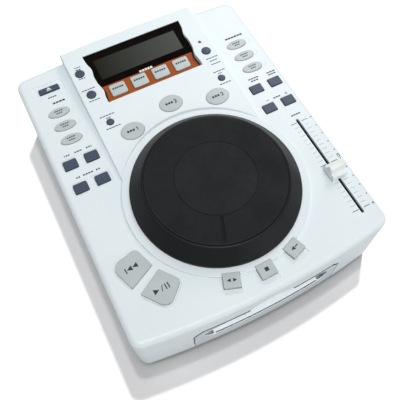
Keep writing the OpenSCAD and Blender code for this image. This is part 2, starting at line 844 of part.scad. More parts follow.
fader_body_w = 12;
fader_body_h = 9;
fader_body_l = fader_travel + 26;
fader_top = panel_z - wall - 4;
knob_w = 15.4;
knob_l = 15.7;
knob_h = 12.5;
knob_lift = 0.8;

module fader_bosses()
    for (sy = [-1, 1])
        translate([fader_mid_x, fader_y + sy * (fader_body_l / 2 - 4), fader_top])
            cylinder(h = panel_z - wall - fader_top + 0.5, r = boss_r, $fn = fine_fn);

module fader_body() color(steel)
    difference() {
        translate([fader_mid_x - fader_body_w / 2, fader_y - fader_body_l / 2, fader_top - fader_body_h])
            cube([fader_body_w, fader_body_l, fader_body_h]);
        translate([fader_mid_x - slot_w / 2, fader_y - fader_travel / 2 - 5, fader_top - fader_body_h + 1.5])
            cube([slot_w, fader_travel + 10, fader_body_h]);
    }

// Knob with a raised ridge across it, on the lever that runs in the slot
module pitch_knob() color(white) {
    lever_l = 6;
    ridge_w = 4.5;
    base_h = 5.5;
    half_l = knob_l / 2;
    translate([fader_mid_x, fader_y - knob_offset, panel_z]) {
        translate([-knob_w / 2, 0, 0]) rotate([90, 0, 90])
            linear_extrude(knob_w)
                polygon([
                    [-half_l, knob_lift],
                    [half_l, knob_lift],
                    [half_l - 0.6, knob_lift + base_h],
                    [ridge_w / 2 + 1, knob_lift + base_h + 1.2],
                    [ridge_w / 2, knob_h],
                    [-ridge_w / 2, knob_h],
                    [-ridge_w / 2 - 1, knob_lift + base_h + 1.2],
                    [-half_l + 0.6, knob_lift + base_h],
                ]);
        translate([-lever_t / 2, -lever_l / 2, -wall - 4 - fader_body_h + 2.5])
            cube([lever_t, lever_l, wall + 4 + fader_body_h - 1.5]);
    }
}

// ---------------------------------------------------------------- disc drive

// Spindle hole, open towards the back so that the tray clears the turntable as it slides
module tray_slot()
    translate([0, spindle_y, tray_z - 10]) {
        cylinder(h = 30, r = slot_half);
        translate([-slot_half, 0, 0]) cube([2 * slot_half, 200, 30]);
    }

module disc_tray() color(dark) {
    difference() {
        union() {
            translate([-tray_w / 2, tray_back_y, tray_z]) cube([tray_w, tray_y1 - tray_back_y, tray_t]);
            translate([-tray_w / 2 - tongue_w, drive_y0 + 4, tray_z + 1])
                cube([tray_w + 2 * tongue_w, tray_y1 - drive_y0 - 4, tongue_t]);
        }
        translate([0, spindle_y, tray_z + tray_t - disc_recess]) cylinder(h = 10, r = disc_r);
        translate([0, spindle_y, tray_z + tray_t - disc_recess - small_disc_recess])
            cylinder(h = 10, r = small_disc_r);
        tray_slot();
    }
    // rack that the tray gear drives
    translate([0, 0, gear_z + 0.2]) linear_extrude(tray_z - gear_z) rack(rack_y0, tray_y1 - rack_y0);
}

// Straight-flanked teeth facing the gear, in plan, from y0 on
module rack(y0, length) {
    pitch = PI * tooth_m;
    half_tooth = pitch / 4 - backlash / 2;
    slope = tan(pressure_angle);
    first = ceil((y0 - gear_y) / pitch);
    last = floor((y0 + length - gear_y) / pitch) - 1;
    polygon([
        [rack_x + dedendum + 3, y0],
        [rack_x + dedendum + 3, y0 + length],
        [rack_x + dedendum, y0 + length],
        for (i = [last:-1:first])
            let (y = gear_y + (i + 0.5) * pitch)
                each [
                    [rack_x + dedendum, y + half_tooth + dedendum * slope],
                    [rack_x - addendum, y + half_tooth - addendum * slope],
                    [rack_x - addendum, y - half_tooth + addendum * slope],
                    [rack_x + dedendum, y - half_tooth - dedendum * slope],
                ],
        [rack_x + dedendum, y0],
    ]);
}

module tray_front() color(white) {
    pocket_y = tray_back_y - 1.8;
    pocket_half = 62;
    pocket_z0 = foot_h + 21.5;
    pocket_z1 = tray_front_top - 2;
    difference() {
        intersection() {
            front_block(-body_d / 2 - 1, tray_back_y) tray_front_outline();
            linear_extrude(100) plan();
        }
        // finger pocket: flat floor, ends that taper to points, open above in the middle
        front_block(-body_d / 2 - 5, pocket_y)
            polygon([
                [-pocket_half, pocket_z0 + 13],
                [-pocket_half + 12, pocket_z0],
                [pocket_half - 12, pocket_z0],
                [pocket_half, pocket_z0 + 13],
                [pocket_half - 22, pocket_z1],
                [deck_x + 21, pocket_z1],
                [deck_x + 12, pocket_z1 + 16],
                [deck_x - 12, pocket_z1 + 16],
                [deck_x - 21, pocket_z1],
                [-pocket_half + 22, pocket_z1],
            ]);
    }
}

// Involute tooth of the tray gear as points from root to tip
function involute(base_r, a) = base_r * [cos(a) + a * PI / 180 * sin(a), sin(a) - a * PI / 180 * cos(a)];
function turned(p, a) = [p[0] * cos(a) - p[1] * sin(a), p[0] * sin(a) + p[1] * cos(a)];
function roll_angle(base_r, r) = r <= base_r ? 0 : sqrt(r * r / (base_r * base_r) - 1) * 180 / PI;

module gear_outline() {
    base_r = gear_r * cos(pressure_angle);
    root_r = gear_r - dedendum;
    tip_r = gear_r + addendum;
    steps = 5;
    pitch_roll = roll_angle(base_r, gear_r);
    pitch_point = involute(base_r, pitch_roll);
    half_tooth_a = 90 / gear_teeth - backlash / 2 / gear_r * 180 / PI;
    flank_turn = -atan2(pitch_point[1], pitch_point[0]) - half_tooth_a;
    flank = [for (i = [0:steps]) turned(involute(base_r, roll_angle(base_r, tip_r) * i / steps), flank_turn)];
    root = turned([root_r, 0], flank_turn);
    polygon([
        for (k = [0:gear_teeth - 1])
            let (a = 360 * k / gear_teeth)
                each [
                    turned(root, a),
                    for (p = flank) turned(p, a),
                    for (i = [steps:-1:0]) turned([flank[i][0], -flank[i][1]], a),
                    turned([root[0], -root[1]], a),
                ],
    ]);
}

module tray_gear() color(white)
    translate([gear_x, gear_y, gear_z])
        difference() {
            linear_extrude(gear_t) gear_outline();
            translate([0, 0, -1]) cylinder(h = gear_t + 2, r = gear_pin_r + running, $fn = fine_fn);
        }

module mech_frame() color(dark) {
    rail_x = tray_w / 2 + 0.6;
    groove_w = tongue_w + part_gap + 0.4;
    difference() {
        union() {
            translate([-drive_w / 2, drive_y0, drive_z]) cube([drive_w, drive_y1 - drive_y0, drive_t]);
            for (sx = [-1, 1])
                translate([sx > 0 ? rail_x : -rail_x - rail_w, drive_y0, drive_z])
                    cube([rail_w, tray_y1 + 4 - drive_y0, rail_top - drive_z]);
            translate([-drive_w / 2, spindle_y - bridge_half, rail_top - eps])
                cube([drive_w, 2 * bridge_half, bridge_t]);
            for (sx = [-1, 1], y = [rod_y0 - 2, rod_y1 + 2])
                translate([sx * rod_x - 2.2, y - 2, drive_top - 0.5]) cube([4.4, 4, rod_z - drive_top + 2.3]);
            translate([gear_x, gear_y, drive_top - 0.5]) {
                cylinder(h = gear_z + gear_t - drive_top + 0.5, r = gear_pin_r, $fn = fine_fn);
                cylinder(h = gear_z - part_gap - drive_top + 0.5, r = gear_pin_r + 2, $fn = fine_fn);
            }
        }
        // grooves that the tray's tongues run in
        for (sx = [-1, 1])
            translate([sx > 0 ? rail_x - 1 : -rail_x + 1 - groove_w, drive_y0 - 1, tray_z + 1 - part_gap])
                cube([groove_w, tray_y1 + 10 - drive_y0, tongue_t + 2 * part_gap]);
        translate([0, spindle_y, rail_top - 1]) cylinder(h = 10, r = clamp_neck_r + 0.6);
        // opening for the sled, and the hole for the spindle
        translate([-sled_half - 1, rod_y0, drive_z - 1])
            cube([2 * sled_half + 2, rod_y1 - rod_y0, drive_t + 2]);
        translate([0, spindle_y, drive_z - 1]) cylinder(h = 10, r = 5);
    }
    // guide rods of the sled
    for (sx = [-1, 1])
        translate([sx * rod_x, rod_y0 - 3, rod_z]) rotate([-90, 0, 0])
            cylinder(h = rod_y1 - rod_y0 + 6, r = rod_r, $fn = fine_fn);
}

module spindle_motor() color(steel)
    translate([0, spindle_y, drive_z - motor_h])
        difference() {
            union() {
                cylinder(h = motor_h, r = motor_r, $fn = fine_fn);
                cylinder(h = motor_h + drive_t + 1, r = 4.4, $fn = fine_fn);
            }
            translate([0, 0, motor_h - 8]) cylinder(h = 20, r = spindle_r + running, $fn = fine_fn);
        }

module disc_spindle() color(dark)
    translate([0, spindle_y, 0]) {
        translate([0, 0, drive_z - 7]) cylinder(h = turntable_z - drive_z + 7, r = spindle_r, $fn = fine_fn);
        translate([0, 0, turntable_z - 4.5]) cylinder(h = 4.5, r = spindle_cap_r);
        translate([0, 0, turntable_z])
            rotate_extrude($fn = fine_fn) polygon([[0, 0], [7.3, 0], [7.3, 0.8], [6, 1.8], [0, 1.8]]);
    }

// Magnetic clamp that hangs in the bridge over the turntable
module disc_clamp() color(light_grey)
    translate([0, spindle_y, 0]) {
        translate([0, 0, clamp_z]) cylinder(h = 2, r = clamp_r);
        translate([0, 0, clamp_z])
            cylinder(h = rail_top + bridge_t + part_gap + 0.5 - clamp_z, r = clamp_neck_r);
        translate([0, 0, rail_top + bridge_t + part_gap]) cylinder(h = 1.7, r = clamp_neck_r + 3.5);
    }

module pickup_sled() color(steel)
    difference() {
        union() {
            translate([-sled_half, sled_y, drive_z + 1.2]) cube([2 * sled_half, sled_l, 6.8]);
            translate([0, lens_y, drive_z + 8 - 0.1]) cylinder(h = 1.8, r = 4.2, $fn = fine_fn);
        }
        for (sx = [-1, 1])
            translate([sx * rod_x, sled_y - 1, rod_z]) rotate([-90, 0, 0])
                cylinder(h = sled_l + 2, r = rod_r + running, $fn = fine_fn);
    }

// ---------------------------------------------------------------- electronics and sockets

main_board_w = 204;
main_board_z = foot_h + 10;
main_board_d = 60;
MAIN_BOARD_Y = [side_back_y - 23.5 - main_board_d, side_back_y - 23.5];
main_board_edge = 6;
// Chips: [x, distance from the front fixings, width, depth]
CHIPS = [[-20, 22, 24, 24], [20, 18, 14, 20], [-60, 28, 12, 18]];
chip_t = 2;
// Capacitors: [x, distance from the front fixings, radius, height]
CAPACITORS = [[-86, 14, 5, 14], [-72, 14, 5, 14], [60, 14, 5, 14], [48, 38, 3.5, 9], [72, 38, 3.5, 9]];

module main_board() color(board_green) {
    translate([-main_board_w / 2, MAIN_BOARD_Y[0] - main_board_edge, main_board_z])
        cube([main_board_w, main_board_d + 2 * main_board_edge, board_t]);
    translate([0, MAIN_BOARD_Y[0], main_board_z + board_t - eps]) {
        for (c = CHIPS) translate([c[0], c[1], 0]) cube([c[2], c[3], chip_t]);
        for (c = CAPACITORS) translate([c[0], c[1], 0]) cylinder(h = c[3], r = c[2], $fn = fine_fn);
    }
}

// Recessed socket panel, with the rocker's housing
module rear_panel() color(dark) {
    back = rear_back_y;
    difference() {
        union() {
            intersection() {
                translate([-rear_w / 2 - rear_flange, back, rear_z - rear_h / 2 - rear_flange])
                    cube([rear_w + 2 * rear_flange, 20, rear_h + 2 * rear_flange]);
                linear_extrude(panel_z) offset(delta = -wall - part_gap) plan();
            }
            translate([rocker_x - rocker_w / 2 - 2.5, back - 10, rear_z - rocker_h / 2 - 3])
                cube([rocker_w + 5, 10 + rear_plate_t, rocker_h + 6]);
        }
        translate([-rear_w / 2 + 0.5, back + rear_plate_t, rear_z - rear_h / 2 + 0.5])
            cube([rear_w - 1, 30, rear_h - 1]);
        for (x = COAX_X) rear_hole(x, coax_r + plug_gap);
        rear_hole(jack_x, jack_collar_r + 0.2);
        rear_hole(inlet_x, inlet_collar_r + 0.2);
        translate([rocker_x - rocker_w / 2 - 0.5, back - 8.5, rear_z - rocker_h / 2 - 1.2])
            cube([rocker_w + 1, 30, rocker_h + 2.4]);
        rocker_axis() cylinder(h = rocker_w + 4, r = rocker_pin_r + running, center = true, $fn = fine_fn);
    }
}

module rear_hole(x, r)
    translate([x, rear_back_y - 1, rear_z]) rotate([-90, 0, 0]) cylinder(h = 10, r = r, $fn = fine_fn);

module rear_socket_block(x)
    translate([x - socket_block / 2, rear_back_y - socket_block_d, rear_z - socket_block / 2])
        cube([socket_block, socket_block_d, socket_block]);

module output_sockets() color("#C9A24A") {
    back = rear_back_y;
    for (x = COAX_X)
        difference() {
            union() {
                rear_socket_block(x);
                translate([x, back - 1, rear_z]) rotate([-90, 0, 0])
                    cylinder(h = coax_len + 1, r = coax_r, $fn = fine_fn);
            }
            translate([x, back - 1, rear_z]) rotate([-90, 0, 0]) cylinder(h = 20, r = 1.6, $fn = fine_fn);
        }
    difference() {
        union() {
            translate([jack_x - 5, back - jack_depth - 1, rear_z - 5]) cube([10, jack_depth + 1, 10]);
            translate([jack_x, back - 1, rear_z]) rotate([-90, 0, 0])
                cylinder(h = rear_plate_t + 2, r = jack_collar_r, $fn = fine_fn);
        }
        translate([jack_x, back - jack_depth + rear_plate_t + 1, rear_z]) rotate([-90, 0, 0])
            cylinder(h = 30, r = jack_r, $fn = fine_fn);
    }
}

module power_inlet() color(black) {
    back = rear_back_y;
    difference() {
        union() {
            translate([inlet_x - 7, back - 11, rear_z - 6]) cube([14, 11, 12]);
            translate([inlet_x, back - 1, rear_z]) rotate([-90, 0, 0])
                cylinder(h = rear_plate_t + 2, r = inlet_collar_r, $fn = fine_fn);
        }
        translate([inlet_x, back - 7, rear_z]) rotate([-90, 0, 0])
            cylinder(h = 30, r = inlet_bore_r, $fn = fine_fn);
    }
    translate([inlet_x, back - 8, rear_z]) rotate([-90, 0, 0])
        cylinder(h = 9, r = inlet_pin_r, $fn = fine_fn);
}

rocker_pin_r = 1.5;
rocker_y = rear_back_y - 2;
module rocker_axis() translate([rocker_x, rocker_y, rear_z]) rotate([0, 90, 0]) children();

// Power rocker, resting with its upper half pressed in
module power_switch() color(black) {
    half = rocker_h / 2;
    rocker_axis() rotate([0, 0, rocker_throw / 2]) {
        linear_extrude(rocker_w - 0.4, center = true)
            polygon([
                [-half, 0],
                [-half, 5.4],
                [0, 4.2],
                [half, 5.4],
                [half, 0],
                [4, -3],
                [-4, -3],
            ]);
        cylinder(h = rocker_w + 3, r = rocker_pin_r, center = true, $fn = fine_fn);
    }
}

top_case();
bottom_case();
rear_panel();
display_window();
lcd_module();
effect_bezel();
status_led();
rubber_feet();
case_screws();
panel_board();
main_board();
fader_body();
jog_bearing();
mech_frame();
spindle_motor();
output_sockets();
power_inlet();
jog_wheel();
jog_pad();
jog_shaft();
disc_tray();
tray_front();
tray_gear();
disc_spindle();
disc_clamp();
pickup_sled();
pitch_knob();
power_switch();
for (k = KEYS)
    key(k);
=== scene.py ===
"""Dresses the tabletop disc player: moulded casing, jog wheel, keys, display, fader and disc tray.

Sizes are in millimetres in the part's own frame (+Z up, front towards -Y) and become metres where a mesh is made.
"""
import json
import math

import bmesh
import bpy
from mathutils import Matrix, Vector

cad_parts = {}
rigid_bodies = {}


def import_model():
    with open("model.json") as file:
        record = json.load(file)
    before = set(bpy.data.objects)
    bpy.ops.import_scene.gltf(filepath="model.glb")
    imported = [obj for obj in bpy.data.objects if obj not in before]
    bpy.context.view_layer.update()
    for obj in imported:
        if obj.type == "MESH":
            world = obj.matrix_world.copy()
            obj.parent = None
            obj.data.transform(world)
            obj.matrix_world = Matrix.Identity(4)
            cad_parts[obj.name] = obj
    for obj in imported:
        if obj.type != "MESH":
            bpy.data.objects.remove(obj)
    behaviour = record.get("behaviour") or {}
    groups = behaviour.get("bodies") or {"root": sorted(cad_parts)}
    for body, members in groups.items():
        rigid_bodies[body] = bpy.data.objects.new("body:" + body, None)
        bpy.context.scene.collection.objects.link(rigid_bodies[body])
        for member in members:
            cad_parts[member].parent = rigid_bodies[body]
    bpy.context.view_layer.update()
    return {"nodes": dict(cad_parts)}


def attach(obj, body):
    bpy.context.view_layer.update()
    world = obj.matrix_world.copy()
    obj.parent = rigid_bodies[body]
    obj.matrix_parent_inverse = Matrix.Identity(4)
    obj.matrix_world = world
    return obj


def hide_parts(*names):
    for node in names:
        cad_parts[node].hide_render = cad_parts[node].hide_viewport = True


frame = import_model()
MM = 0.001

# ---------------------------------------------------------------- driving sizes, as the part has them

BODY_W, BODY_D = 238.0, 300.0
FRONT_BOW, BACK_BOW = 9.6, 4.5
CORNER_R, EDGE_R = 10.0, 5.0
WALL = 2.5
FOOT_H, BASE_TOP, PANEL_Z = 6.0, 8.5, 78.0
SHELL_Z = 8.8
SCREW_X, SCREW_YS = BODY_W / 2 - 5.5, (-124, -14, 132)
FOOT_X, FOOT_Y = 92, 118
JOG = Vector((1.5, -46.0, 0.0))
JOG_R, PAD_R, WELL_R, RING_R = 74.7, 61.3, 75.6, 82.0
RING_Z, WELL_Z = 80.5, 73.0
SHOULDER_Z, JOG_TOP_Z = 84.0, 97.0
JOG_HOLE_D = 8.6
RIB_START, RIB_END, RIB_PITCH = 36.6, 60.2, 0.9
DECK_X, DECK_W, DECK_FRONT_Y = 1.5, 140.0, -4.0
DECK_RISE = 7.5
DECK_RUN = BODY_D / 2 - BACK_BOW - DECK_FRONT_Y
DECK_TILT = math.atan(DECK_RISE / DECK_RUN)
WINDOW_X, WINDOW_Y0, WINDOW_Y1, WINDOW_SPLIT = 2.4, 77.0, 137.0, 98.5
WINDOW_BACK_W, WINDOW_FRONT_W = 104.0, 98.5
WINDOW_T = 2.0
WINDOW_WALL = 1.6
SUNK_BACK, SUNK_FRONT = 1.5, 5.5
LCD_X, LCD_Y, LCD_W, LCD_D = 1.5, 117.5, 87.0, 23.0
FADER_X, FADER_Y, FADER_TRAVEL, SLOT_W = 102.2, -70.4, 100.0, 2.8
KNOB_Y = FADER_Y - 10.0
TRAY_HALF, TRAY_TOP, TRAY_CORNER = 70.5, 54.0, 8.0
TRAY_BACK_Y = -141.5
TRAY_CLEAR = 0.8
REAR_W, REAR_H, REAR_Z = 190, 40, 39
LED, LED_D = (61.6, 102.6), 3.0
# keys: middles of the two panels' rows, their steps, and radii about the jog wheel's axis
LEFT_X, RIGHT_X = -92.2, 96.5
EJECT_X = LEFT_X + 0.5
SKIP_X, SKIP_Y, SEARCH_Y = LEFT_X - 0.6, 33.7, 7.8
OVAL_PITCH, PAIR, EFFECT_PITCH = 16.5, 20.2, 22.3
RING_KEY_R, CAP_R = 85.5, 100.6
KEY_GAP, FINE_GAP = 0.35, 0.14
# how far cutters reach: out beyond the casing's front and back, above a surface, and below it through the wall
OUTSIDE, ABOVE, THROUGH = 160.0, 12, 8


def deck_z(y):
    """Height of the deck's sloping surface."""
    return RING_Z + (y - DECK_FRONT_Y) * math.tan(DECK_TILT)


WINDOW_Z0 = deck_z(WINDOW_Y0) - SUNK_FRONT
WINDOW_TILT = math.atan((deck_z(WINDOW_Y1) - SUNK_BACK - WINDOW_Z0) / (WINDOW_Y1 - WINDOW_Y0))


def at(x=0.0, y=0.0, z=0.0):
    """A shift."""
    return Matrix.Translation((x, y, z))


def about(axis, degrees):
    """A turn about one axis."""
    return Matrix.Rotation(math.radians(degrees), 4, axis)


def sloping(y, z, tilt):
    """The frame of a surface that rises towards the back from the line at y and z."""
    return at(0, y, z) @ Matrix.Rotation(tilt, 4, "X") @ at(0, -y)


SURFACES = {
    "panel": at(z=PANEL_Z),
    "deck": sloping(DECK_FRONT_Y, RING_Z, DECK_TILT),
    "window": sloping(WINDOW_Y0, WINDOW_Z0, WINDOW_TILT),
    "jog": at(JOG.x, JOG.y, PANEL_Z),
}
AT_JOG = at(*JOG)
STOOD_UP = about("X", 90)


def placed(surface, x=0.0, y=0.0, turn=0.0):
    """A place on one of the surfaces, turned about its normal by so many degrees."""
    return SURFACES[surface] @ at(x, y) @ about("Z", turn)


# ---------------------------------------------------------------- finishes

def linear(code):
    """sRGB hex to the linear colour that the shaders take."""
    parts = [int(code[i:i + 2], 16) / 255 for i in (1, 3, 5)]
    return [c / 12.92 if c <= 0.04045 else ((c + 0.055) / 1.055) ** 2.4 for c in parts] + [1.0]


def node(tree, kind, links=None, **settings):
    """Adds a node with its settings; links gives each input a value or the socket that feeds it."""
    made = tree.nodes.new(kind)
    for name, value in settings.items():
        setattr(made, name, value)
    for key, value in (links or {}).items():
        if isinstance(value, bpy.types.NodeSocket):
            tree.links.new(value, made.inputs[key])
        else:
            made.inputs[key].default_value = value
    return made


def blank(name):
    """A new material with its empty tree."""
    material = bpy.data.materials.new(name)
    material.use_nodes = True
    material.node_tree.nodes.clear()
    return material, material.node_tree


def shaded(material, kind, links):
    """Gives the material its one shader, with these inputs, and its output."""
    shader = node(material.node_tree, kind, links)
    node(material.node_tree, "ShaderNodeOutputMaterial", {"Surface": shader.outputs[0]})
    return material


def patches(tree, size_mm, detail):
    """Noise fixed to the piece, in patches of so many millimetres."""
    coords = node(tree, "ShaderNodeTexCoord")
    return node(tree, "ShaderNodeTexNoise", {"Vector": coords.outputs["Object"], "Scale": 1000 / size_mm,
                                             "Detail": detail}).outputs["Fac"]


def mottled(tree, colour, other, spread_mm):
    """Colour that drifts between two tones over patches of so many millimetres."""
    share = node(tree, "ShaderNodeMapRange",
                 {"Value": patches(tree, spread_mm, 3.0), "From Min": 0.35, "From Max": 0.65})
    return node(tree, "ShaderNodeMix", {"Factor": share.outputs["Result"], 6: linear(colour), 7: linear(other)},
                data_type="RGBA").outputs[2]


def grain(tree, size_mm, depth_mm):
    """Bump of an evenly grained surface."""
    return node(tree, "ShaderNodeBump", {"Height": patches(tree, size_mm, 2.0), "Distance": depth_mm * MM,
                                         "Strength": 1.0}).outputs["Normal"]


def uneven(tree, low, high, spread_mm):
    """Roughness that changes between two values, as handled plastic's does."""
    return node(tree, "ShaderNodeMapRange", {"Value": patches(tree, spread_mm, 4.0), "From Min": 0.3, "From Max": 0.7,
                                             "To Min": low, "To Max": high}).outputs["Result"]


def painted_side_shade(tree, colour, shade_tone, amount):
    """Colour that turns to a painted shade where the surface stands upright, darkest on the steepest sides."""
    geometry = node(tree, "ShaderNodeNewGeometry")
    up = node(tree, "ShaderNodeSeparateXYZ", {"Vector": geometry.outputs["Normal"]}).outputs["Z"]
    side = node(tree, "ShaderNodeMapRange", {"Value": up, "From Min": 0.75, "From Max": 0.2, "To Max": amount})
    return node(tree, "ShaderNodeMix", {"Factor": side.outputs["Result"], 6: colour, 7: linear(shade_tone)},
                data_type="RGBA").outputs[2]


def plastic(name, colour, other, spread_mm, rough, grain_mm, grain_depth_mm, specular, edge=None):
    """Plastic, rubber, paint or ink: drifting colour, handled gloss, the grain of its surface, and painted shade on its
    upright sides where one is given.
    """
    material, tree = blank(name)
    base = mottled(tree, colour, other, spread_mm)
    # painted shade on upright sides, where the row gives one
    if edge:
        base = painted_side_shade(tree, base, *edge)
    return shaded(material, "ShaderNodeBsdfPrincipled", {
        "Base Color": base, "Roughness": uneven(tree, *rough, 22), "Normal": grain(tree, grain_mm, grain_depth_mm),
        "IOR": 1.53, "Specular IOR Level": specular})


def metal(name, colour, other, rough, drawn):
    """Metal with fine lines, drawn 1 mm apart so that they can show; drawn stretches them in X, Y and Z."""
    material, tree = blank(name)
    coords = node(tree, "ShaderNodeTexCoord")
    run = node(tree, "ShaderNodeMapping", {"Vector": coords.outputs["Object"], "Scale": drawn})
    lines = node(tree, "ShaderNodeTexNoise", {"Vector": run.outputs["Vector"], "Scale": 900.0, "Detail": 3.0})
    tone = node(tree, "ShaderNodeMix", {"Factor": lines.outputs["Fac"], 6: linear(colour), 7: linear(other)},
                data_type="RGBA")
    bump = node(tree, "ShaderNodeBump", {"Height": lines.outputs["Fac"], "Distance": 0.01 * MM, "Strength": 0.6})
    return shaded(material, "ShaderNodeBsdfPrincipled", {
        "Base Color": tone.outputs[2], "Roughness": uneven(tree, *rough, 9), "Normal": bump.outputs["Normal"],
        "Metallic": 1.0})


def acrylic_smoked_polished():
    """Smoked acrylic window, black behind except over the liquid-crystal panel, whose grey-green shows through, painted
    lighter to the right as a reflection.
    """
    material, tree = blank("acrylic_smoked_polished")
    coords = node(tree, "ShaderNodeTexCoord")
    place = node(tree, "ShaderNodeMapping", {"Vector": coords.outputs["Object"],
                                             "Location": (-LCD_X * MM, -LCD_Y * MM, 0.0)})
    x, y, _ = node(tree, "ShaderNodeSeparateXYZ", {"Vector": place.outputs["Vector"]}).outputs

    def inside(value, half_mm):
        """1 within half_mm of the middle, falling to 0 over half a millimetre."""
        distance = node(tree, "ShaderNodeMath", {0: value}, operation="ABSOLUTE")
        return node(tree, "ShaderNodeMapRange", {"Value": distance.outputs[0], "From Min": (half_mm + 0.25) * MM,
                                                 "From Max": (half_mm - 0.25) * MM}).outputs["Result"]

    panel = node(tree, "ShaderNodeMath", {0: inside(x, LCD_W / 2), 1: inside(y, LCD_D / 2)}, operation="MULTIPLY")
    cells = node(tree, "ShaderNodeTexBrick", {
        "Vector": place.outputs["Vector"], "Scale": 1000.0, "Color1": linear("#33342F"), "Color2": linear("#383933"),
        "Mortar": linear("#2F302B"), "Mortar Size": 0.25, "Brick Width": 6.2, "Row Height": 7.6}, offset=0.0)
    # painted reflection over the panel: its colour runs from dark at the left to a lighter grey at the right
    across = node(tree, "ShaderNodeMapRange", {"Value": x, "From Min": -LCD_W / 2 * MM, "From Max": LCD_W / 2 * MM})
    painted_reflection = node(tree, "ShaderNodeMix", {"Factor": across.outputs["Result"], 6: linear("#1C1C15"),
                                        7: linear("#585B59")}, data_type="RGBA")
    cover = node(tree, "ShaderNodeMix", {"Factor": 0.7, 6: cells.outputs["Color"], 7: painted_reflection.outputs[2]},
                 data_type="RGBA")
    colour = node(tree, "ShaderNodeMix", {"Factor": panel.outputs[0], 6: mottled(tree, "#0A0706", "#120E0C", 20),
                                          7: cover.outputs[2]}, data_type="RGBA")
    return shaded(material, "ShaderNodeBsdfPrincipled", {
        "Base Color": colour.outputs[2], "Roughness": uneven(tree, 0.03, 0.09, 30), "IOR": 1.49,
        "Specular IOR Level": 0.035})


# Name, two tones, patch size, roughness, grain size, grain depth, specular level, and a shade colour with its share
# painted on upright cut edges as shade. Sizes in mm; a mould's grain is drawn at 0.5 to 0.6 mm so that it can show.
PLASTICS = {
    # ABS from a spark-eroded tool, the casing: cool white with a soft sheen
    "white": ("abs_white_spark_eroded", "#E6EFF2", "#E2ECEF", 70, (0.40, 0.50), 0.6, 0.006, 0.45),
    # ABS of the tray's front: the casing's white, a little greyer as painted shade on its upright faces, and duller
    "fascia": ("abs_white_painted_shade", "#D2DBDE", "#CED7DA", 60, (0.46, 0.56), 0.6, 0.006, 0.4),
    # ABS of the pocket's floor: the whitest part of the tray's front as painted light on its upward faces, and the
    # glossiest, as if polished by fingers
    "lip": ("abs_white_painted_light", "#F6FCFD", "#F1F8F9", 30, (0.22, 0.30), 0.6, 0.004, 0.5),
    # ABS key caps moulded in slate blue: satin, their upright edges a little darker with painted shade
    "slate": ("abs_slate_moulded", "#434E60", "#3F4A5C", 9, (0.42, 0.55), 0.5, 0.008, 0.4, ("#39414F", 0.7)),
    # ABS key caps moulded in light grey: satin, with a brownish painted shade on their upright cut edges
    "grey": ("abs_grey_moulded", "#BCC6C7", "#B8C2C3", 12, (0.38, 0.50), 0.5, 0.006, 0.45, ("#A79C86", 0.55)),
    # Polycarbonate strip sprayed orange: even and warm, with the fine orange peel of paint; its upright edges nearly
    # black with painted shade
    "orange": ("pc_orange_sprayed", "#A34E12", "#9A470E", 14, (0.4, 0.5), 1.4, 0.010, 0.2, ("#1E120C", 0.95)),
    # Anthracite ABS, the jog wheel's rim: satin, it catches a grey sheen on its slope
    "rim": ("abs_anthracite_moulded", "#121416", "#101214", 20, (0.40, 0.50), 0.5, 0.008, 0.25),
    # Soft black PVC sheet, the jog wheel's pad: a fine leather-like grain, nearly without shine
    "pad": ("pvc_black_grained", "#151618", "#1A1B1E", 5, (0.62, 0.78), 0.8, 0.05, 0.25),
    # Black ABS of the socket panel, drive frame and tray: grained, with a dull sheen
    "black": ("abs_black_moulded", "#1E2023", "#24262A", 16, (0.48, 0.62), 0.6, 0.012, 0.4),
    # White acetal of gears and clamp: waxy, smoother than ABS
    "pom": ("pom_white_moulded", "#E9EAE6", "#E1E3DF", 10, (0.28, 0.38), 0.9, 0.004, 0.45),
    # White ABS of the fader knob: a little warmer than the casing, polished by fingers
    "knob": ("abs_knob_white_polished", "#F0F6F4", "#E3E7E3", 8, (0.28, 0.42), 0.7, 0.004, 0.45),
    # Natural rubber of the feet: matt black with a dusty bloom; the same black is painted shade round the window and on
    # the tray's top
    "rubber": ("rubber_black_moulded", "#1B1B1C", "#2A2A2A", 5, (0.75, 0.9), 0.8, 0.03, 0.3),
    # Glass-epoxy circuit board under green solder mask: glossy, very slightly uneven
    "board": ("epoxy_board_green", "#23503A", "#1C4431", 4, (0.25, 0.35), 0.9, 0.01, 0.5),
    # Screen-printed inks, flat and matt: dark grey, pale grey of the short ticks, white on dark keys
    "ink": ("ink_dark_grey_printed", "#2F3238", "#3A3D43", 3, (0.55, 0.7), 0.3, 0.002, 0.3),
    "pale": ("ink_pale_grey_printed", "#A9B1B3", "#B4BBBD", 3, (0.55, 0.7), 0.3, 0.002, 0.3),
    "print": ("ink_white_printed", "#EDEFEF", "#DFE2E2", 3, (0.5, 0.65), 0.3, 0.002, 0.3),
    # Red-tinted epoxy lens of the status lamp, unlit: deep and glossy
    "lamp": ("epoxy_red_cast", "#8C1A22", "#7A141C", 1.5, (0.12, 0.2), 0.8, 0.002, 0.5),
}
# Name, two tones, roughness, and how the lines are stretched in X, Y and Z
METALS = {
    # Zinc-plated steel of screws, shafts, rods and motor can: cool grey with fine drawn lines
    "steel": ("steel_zinc_plated", "#A9ADB0", "#8F9498", (0.28, 0.42), (1.0, 1.0, 0.12)),
    # Sintered bronze of the jog bearing: warm brown, porous and dull
    "bronze": ("bronze_sintered", "#A8865A", "#8B6C46", (0.45, 0.6), (1.0, 1.0, 1.0)),
    # Nickel-plated brass of the socket sleeves: warm silver, bright
    "nickel": ("brass_nickel_plated", "#CFCBC0", "#BDB8AA", (0.16, 0.28), (1.0, 0.15, 1.0)),
}
FINISH = {key: plastic(*row) for key, row in PLASTICS.items()}
FINISH.update((key, metal(*row)) for key, row in METALS.items())
FINISH["window"] = acrylic_smoked_polished()

# ---------------------------------------------------------------- outlines, anticlockwise, as lists of points


